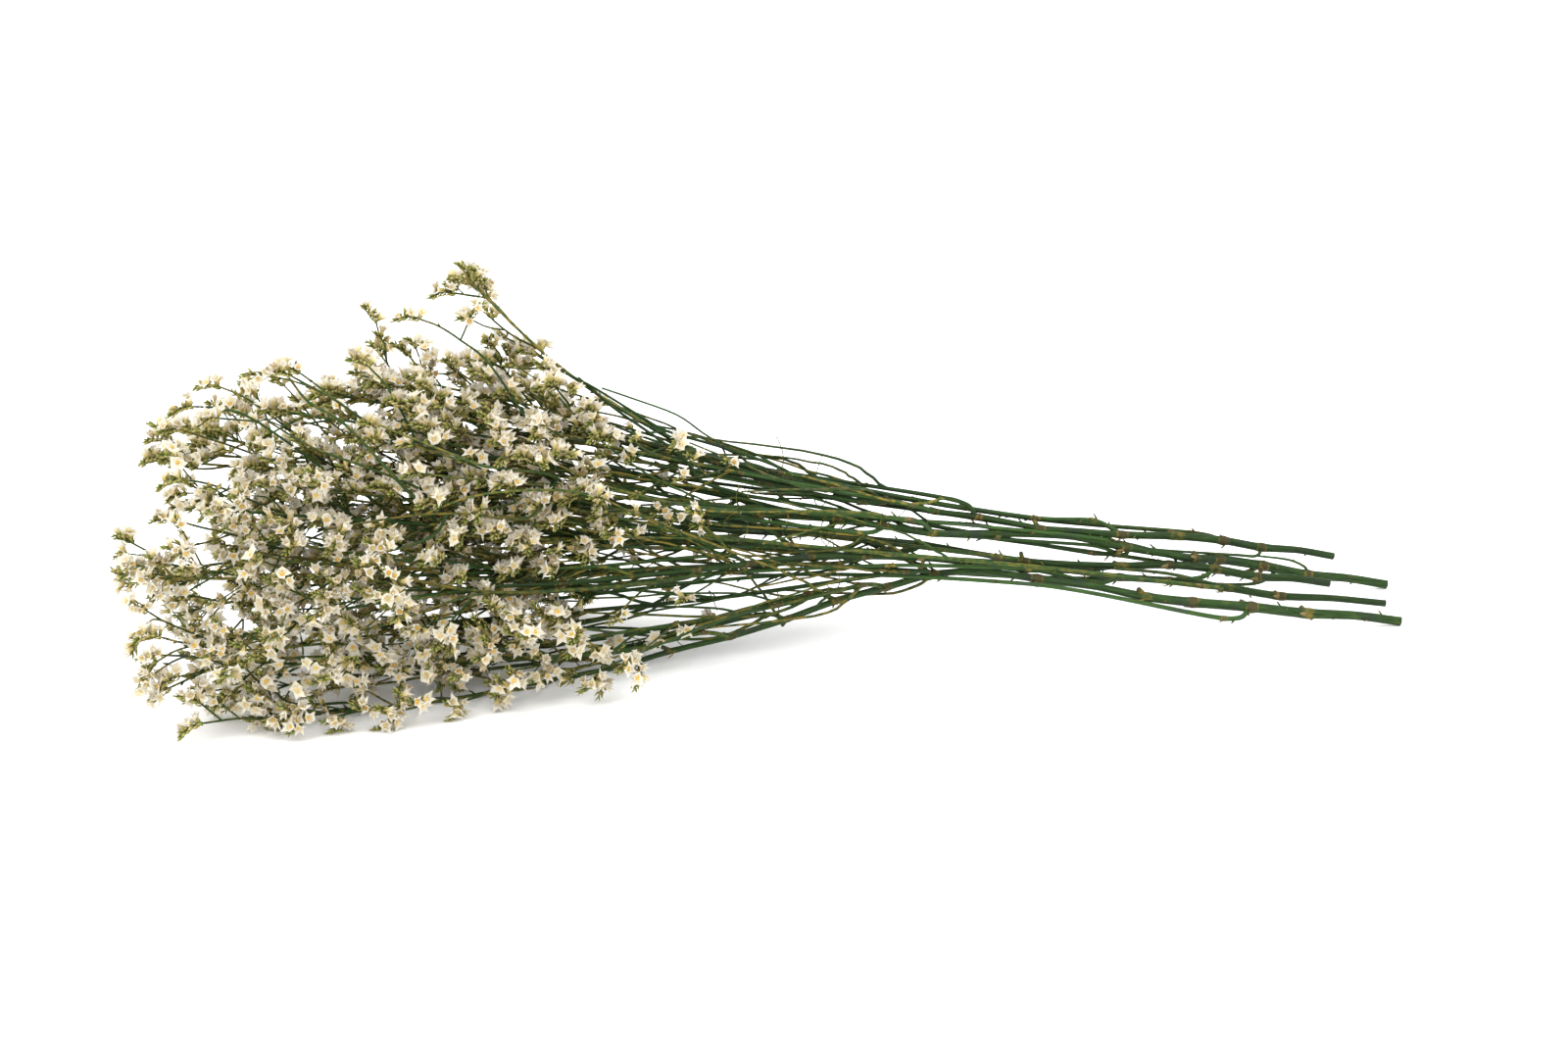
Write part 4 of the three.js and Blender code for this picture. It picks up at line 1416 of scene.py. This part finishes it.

# %% [markdown]
# ## Twigs that stand out
#
# At the front of the head, some twigs lie apart from the rest, close to the table, and their
# forks can be counted. Others stand out at the left edge and on top, and a few bare stems lie
# across the head and along its upper right edge. A rule would put them anywhere, so they are
# listed as points that a twig passes. Most end in a spike. Listed points rarely meet a stem, so
# each twig is led back to the nearest place on one, preferably behind it.

# %% Twigs close to the table
LOW_TWIGS = [
    # radius at the root, then the points, mm
    (0.8, [-190, -58, 24], [-211, -62, 28], [-238, -70, 30.5], [-256, -75, 30], [-274, -79, 24.5]),
    (0.42, [-260, -76, 29.5], [-264, -78, 29.5], [-270, -79, 29]),
    (0.45, [-248.5, -73, 30], [-256, -75, 33.5], [-266, -77, 37], [-276, -79, 39]),
    (0.42, [-268, -77.5, 37.5], [-274, -80, 36], [-280, -82, 33]),
    (0.7, [-200, -60, 33], [-238, -68, 35], [-254, -70, 39], [-269, -72, 42], [-277, -73, 45]),
    (0.42, [-262, -71, 40.5], [-272, -74, 39], [-279, -76, 36]),
    (0.5, [-253, -70, 39], [-265, -68, 45], [-276, -66, 50], [-282, -65, 54]),
    (0.4, [-276, -66, 50], [-281, -68, 52], [-285, -70, 49]),
    (0.7, [-195, -64, 6], [-221, -72, 10], [-231, -72, 18], [-237, -72, 22], [-241, -72, 27]),
    (0.42, [-236, -72, 21.5], [-242, -76, 22.5], [-248, -79, 21]),
    (0.7, [-198, -66, 4], [-221, -75, 6], [-233, -80, 7.5], [-247, -84, 9.5], [-261, -87, 9.5]),
    (0.42, [-246, -84, 9.5], [-251, -83, 14], [-255, -82, 18]),
    (0.42, [-254, -85.5, 10], [-258, -86, 14], [-261, -86, 17]),
]
print("twigs close to the table:", len(LOW_TWIGS))

# %% Twigs at the left edge and on top
EDGE_TWIGS = [
    (0.6, [-225, -30, 87], [-245.6, -36, 99.4], [-257, -40, 104.9], [-264.2, -42, 106.8]),
    (0.42, [-245.6, -36, 99.4], [-254.4, -40, 97.5], [-261.3, -42, 96.7]),
    (0.6, [-222, -38, 71], [-245, -44, 81.4], [-257.7, -46, 85.9], [-266.9, -48, 89.8]),
    (0.42, [-245, -44, 81.4], [-253.7, -50, 80.7], [-261.5, -52, 79.9]),
    (0.55, [-231, -40, 58.6], [-250.1, -46, 64.5], [-262.9, -50, 68.4], [-271.3, -52, 71.4]),
    (0.42, [-250.1, -46, 64.5], [-258.1, -50, 61.7], [-264.2, -54, 59.8]),
    (0.55, [-225, 10, 98], [-242.1, 8, 106.5], [-254.2, 6, 111.9], [-261.9, 4, 115.6]),
]
TOP_TWIGS = [
    (0.7, [-202, -10, 99], [-230.7, -14, 123.9], [-245.2, -18, 131.7], [-257.3, -20, 133.8]),
    (0.42, [-230.7, -14, 123.9], [-240.3, -20, 127], [-246.8, -24, 129]),
    (0.6, [-213, 20, 106], [-228.6, 22, 120.3], [-236.7, 24, 125.7], [-244, 26, 128.7]),
    (0.75, [-173, -20, 115], [-194.8, -24, 134], [-206.3, -27, 142.2], [-214.9, -30, 148.5]),
    (0.42, [-206.3, -27, 142.2], [-215.8, -31, 147], [-224.4, -34, 150]),
    (0.42, [-194.8, -24, 134], [-204.2, -20, 141.5], [-210, -18, 145.8]),
    (0.6, [-161.6, -10, 114.5], [-171.7, -12, 135.9], [-179.3, -14, 145.9]),
    (0.6, [-125, -6, 142.9], [-138.2, -8, 155.5], [-147.8, -10, 162.9], [-155.8, -12, 166.9]),
    (0.42, [-138.2, -8, 155.5], [-136.3, -8, 159.5], [-135.3, -8, 161.8]),
]
print("twigs at the edge and on top:", len(EDGE_TWIGS), len(TOP_TWIGS))

# %% Bare stems along the neck and across the head
NECK_STEMS = [
    (0.5, [-17.6, 8, 95.1], [-26.3, 8, 101.8], [-38, 9, 110.6], [-57.5, 10, 118.8],
     [-72.1, 12, 124.2]),
    (0.85, [7.8, 8, 84], [-18.7, 7, 95], [-42.7, 6, 103.7], [-56.3, 6, 112.4],
     [-79.2, 6, 128.1], [-96.8, 8, 137]),
    (1.0, [-12, -6, 76], [-28.6, -6, 82.4], [-36, -4, 92.6], [-49.5, 0, 103.4],
     [-68.3, 4, 117.3], [-83.4, 8, 131]),
    (0.6, [-35, -12, 78], [-51.1, -10, 86.3], [-65.2, -8, 96.3], [-79.4, -4, 108.1], [-93.3, 2, 123.8]),
    (0.6, [-42.7, 6, 103.7], [-58.7, 2, 104.3], [-79.2, -2, 103.7], [-99, -6, 105.9]),
]
SIDE_STEMS = [
    (1.3, [222.1, 16, 18.8], [201.2, 14, 26.2], [181.5, 10, 32.6], [161.3, 6, 43.9]),
    (1.2, [168.2, 6, 38.6], [155.5, 4, 42], [131.5, 2, 46.4], [105.3, 2, 50.4], [80, 2, 54]),
    (1.25, [234, -7.7, 13.6], [216, -9, 19], [195.7, -6, 24.2], [170.2, -2, 26.9]),
    (1.1, [255.5, 18, 12.7], [250.8, 17, 9.7], [242.7, 16, 8.6], [224, 13, 10.7], [206, 10, 14]),
    (1.1, [176.7, 8, 30.1], [163.2, 7, 35.6], [138.6, 5, 39.7], [110.8, 3, 43.9], [84, 2, 47]),
    (0.9, [246.7, 18, 22.2], [235.5, 17, 23.7], [203.3, 13, 28.9], [187.1, 11, 32]),
    (0.9, [272.5, 20, 10.5], [272.4, 20, 14], [263.7, 20, 18.5], [246.7, 18, 22.2]),
]
FRONT_STEMS = [
    (0.95, [-158.2, -44, 87.9], [-168.3, -44, 99], [-192.4, -38, 127.1], [-207.8, -34, 137.1],
     [-216.1, -28, 147.1]),
    (0.7, [-160.2, -40, 95.9], [-182.6, -42, 107.8], [-207.1, -40, 118], [-226.2, -36, 130]),
    (0.75, [-102.2, -32, 97.7], [-130.9, -38, 104.7], [-150.9, -40, 114.2], [-179.3, -36, 126.7]),
    (0.7, [-112.9, -46, 82.3], [-143.8, -54, 88.5], [-169.6, -58, 89.8], [-205.8, -56, 84.9]),
    (1.2, [-40, -32, 45], [-63.9, -40, 45.8], [-89, -48, 47.7], [-127.2, -58, 51.6], [-154.5, -62, 58.2],
     [-180.4, -64, 66], [-205.8, -62, 71.8]),
    (0.7, [-128, -58, 52.1], [-145.7, -64, 52.4], [-182.8, -70, 43.4], [-211.7, -68, 40.4]),
    (0.7, [-85.6, -40, 89.5], [-112.8, -48, 95.8], [-139.7, -54, 96], [-161.4, -52, 87.9]),
    (0.75, [-157.5, -54, 78.3], [-184, -58, 72.9], [-214.3, -60, 71.2], [-239.6, -58, 78.8]),
    (0.8, [-20.3, -22, 73.2], [-48.3, -28, 80.5], [-75.4, -30, 90], [-101.6, -28, 102.9]),
]
print("bare stems:", len(NECK_STEMS), len(SIDE_STEMS), len(FRONT_STEMS))

# %% Flower clusters on the front of the head
CLUSTER_RADIUS = 0.6
FRONT_CLUSTERS = [
    ([-96.4, -22, 85.9], [-107.7, -33, 93], [-118.3, -38, 96.7]),
    ([-84, -18, 72.7], [-94.6, -29, 81.1], [-104.4, -34, 85.5]),
    ([-68.7, -12, 78], [-79.1, -23, 83.2], [-88.6, -28, 86]),
    ([-105.9, -28, 68.3], [-116.7, -39, 74.2], [-126.9, -44, 77.4]),
    ([-92.1, -24, 64.3], [-102.2, -35, 67.8], [-111.6, -40, 69.7]),
    ([-131.2, -38, 56.7], [-142.2, -49, 63.4], [-152.6, -54, 67]),
    ([-121.4, -36, 49.8], [-132.6, -47, 54.8], [-143.1, -52, 57.4]),
    ([-130.3, -30, 80.1], [-141.7, -41, 87.8], [-152.5, -46, 91.9]),
    ([-96.6, -26, 52], [-107.6, -37, 55.1], [-117.9, -42, 56.7]),
    ([-114.4, -28, 85.1], [-124.4, -39, 86.1], [-133.7, -44, 86.6]),
    ([-109.7, -34, 46.5], [-121.1, -45, 47.9], [-131.7, -50, 48.6]),
    ([-77.3, -18, 65.7], [-87.2, -29, 72.3], [-96.2, -34, 75.7]),
    ([-62.2, -12, 54.4], [-71.8, -23, 57.9], [-80.5, -28, 59.8]),
    ([-80.9, -20, 54.3], [-91.3, -31, 56.1], [-100.8, -36, 57]),
    ([-125.2, -34, 69], [-135, -45, 74.3], [-144.1, -50, 77.1]),
    ([-52.6, -6, 61.4], [-62.3, -17, 66.7], [-71, -22, 69.5]),
]
print("clusters:", len(FRONT_CLUSTERS))

# %% Lead each twig back to a stem
STEM_SPACING = 2
BEHIND = 0.6
root_stretches = []


def stem_lines():
    """The centre lines of every stalk, branch and spray axis, as they are drawn."""
    lines = [fine_line(axis, 0, len(axis.points) - 1, STEM_SPACING)[0] for axis, _ in sprays.values()]
    for stalk in STALKS.values():
        lines.append(fine_line(stalk["main"], 0, STALK_SEAT_STEP, STEM_SPACING)[0])
        lines += [fine_line(branch, 0, branch.seat, STEM_SPACING)[0] for branch in stalk["branches"]]
    return lines


def root_on_stem(points, lines):
    """The place on a stem that a twig grows from: the nearest, where places behind it count less."""
    stems = np.concatenate(lines)
    offsets = stems - points[0]
    apart = np.linalg.norm(offsets, axis=1)
    root = stems[(apart + BEHIND * offsets @ unit(points[1] - points[0])).argmin()]
    root_stretches.append(np.linalg.norm(root - points[0]))
    return root


print("stem lines to grow from:", len(stem_lines()))

# %% Lay the twigs and the bare stems
THINNEST_TWIG = 0.48
LAID_SIDES = 7
LAID_STUB_RADIUS = 0.3
SPIKE_TURNS = (0, 0.9, -0.9)


def build_laid_twigs(twigs, flowers, oldest, spikes=1):
    """Rods through the points of each row, most with a spike, or a fan of them, at the end."""
    laid = bmesh.new()
    lines = stem_lines()
    for radius, *points in twigs:
        points = np.array(points, float)
        points = np.vstack([root_on_stem(points, lines), points])
        steps = 4 * (len(points) - 1)
        line = np.array([through(points, i / steps) for i in range(steps + 1)])
        lines.append(line)
        age = np.linspace(0.1, oldest, len(line)) * dice.uniform(0.4, 1.6)
        tint = dice.random()
        radii = np.linspace(radius, max(THINNEST_TWIG, 0.6 * radius), len(line))
        put_rod(laid, line, radii, LAID_SIDES, age, tint)
        put_stubs(laid, line, [LAID_STUB_RADIUS] * len(line))
        heading = unit(line[-1] - line[-2])
        for turn in SPIKE_TURNS[:spikes if flowers else 0]:
            up = heading * 0.3 + dice_vector(1) + (0, 0, 0.8)
            put_spike(laid, line[-1], turned(heading, unit(up), turn), up, flowers, age[-1], tint)
    return laid


LAID_PIECES = {
    # the rows, the flowers of a spike, and the age at the tip
    "low_twigs": (LOW_TWIGS, 5, 0.6),
    "edge_twigs": (EDGE_TWIGS, 5, 0.6),
    "top_twigs": (TOP_TWIGS, 5, 0.6),
    "neck_stems": (NECK_STEMS, 0, 0.2),
    "side_stems": (SIDE_STEMS, 0, 0.2),
    "front_stems": (FRONT_STEMS, 0, 0.7),
}
for name, (twigs, flowers, oldest) in LAID_PIECES.items():
    make_piece(name, build_laid_twigs(twigs, flowers, oldest))
clusters = [(CLUSTER_RADIUS, *points) for points in FRONT_CLUSTERS]
make_piece("front_flowers", build_laid_twigs(clusters, 4, 0.8, len(SPIKE_TURNS)))
print("longest and mean stretch from a laid twig back to its stem, mm:",
      round(max(root_stretches), 1), round(float(np.mean(root_stretches)), 1))
print("all triangles:", sum(triangles.values()), "most in one piece:", max(triangles.values()))
print("copies:", {form.mesh.name: form.copies for form in small_forms})

# %% [markdown]
# ## Floor and light
#
# The bunch was photographed on a white surface that is brighter than the paper of the flowers,
# with soft shadows. A bright sky all round gives the even light, and a large lamp from the upper
# left gives the shadows their direction.

# %% Floor, sky and lamp
FLOOR_SIZE = 30
FLOOR_SHADE = 0.97
SKY_STRENGTH = 1.95
LAMP_PLACE = Vector((-1.2, -0.6, 2.4))
LAMP_SIZE = 1.6
LAMP_WATTS = 26

floor_mesh = bpy.data.meshes.new("floor")
sheet = bmesh.new()
bmesh.ops.create_grid(sheet, x_segments=1, y_segments=1, size=FLOOR_SIZE / 2)
sheet.to_mesh(floor_mesh)
sheet.free()
floor = bpy.data.objects.new("floor", floor_mesh)
bpy.context.scene.collection.objects.link(floor)
pale = Finish("pale_floor")
pale.shader.inputs["Roughness"].default_value = 0.9
floor_mesh.materials.append(pale.done((FLOOR_SHADE,) * 3 + (1,)))
floor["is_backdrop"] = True

sky = bpy.data.worlds.new("sky")
sky.use_nodes = True
sky.node_tree.nodes["Background"].inputs["Color"].default_value = (1, 1, 1, 1)
sky.node_tree.nodes["Background"].inputs["Strength"].default_value = SKY_STRENGTH
bpy.context.scene.world = sky

lamp_data = bpy.data.lights.new("lamp", "AREA")
lamp_data.size = LAMP_SIZE
lamp_data.energy = LAMP_WATTS
lamp = bpy.data.objects.new("lamp", lamp_data)
lamp.location = LAMP_PLACE
lamp.rotation_euler = (LAMP_PLACE - Vector(AIM)).to_track_quat("Z", "Y").to_euler()
bpy.context.scene.collection.objects.link(lamp)
bpy.context.scene.view_settings.view_transform = "Standard"
print("lamp at", tuple(LAMP_PLACE))

# %% Measure the box of everything shown
low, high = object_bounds()
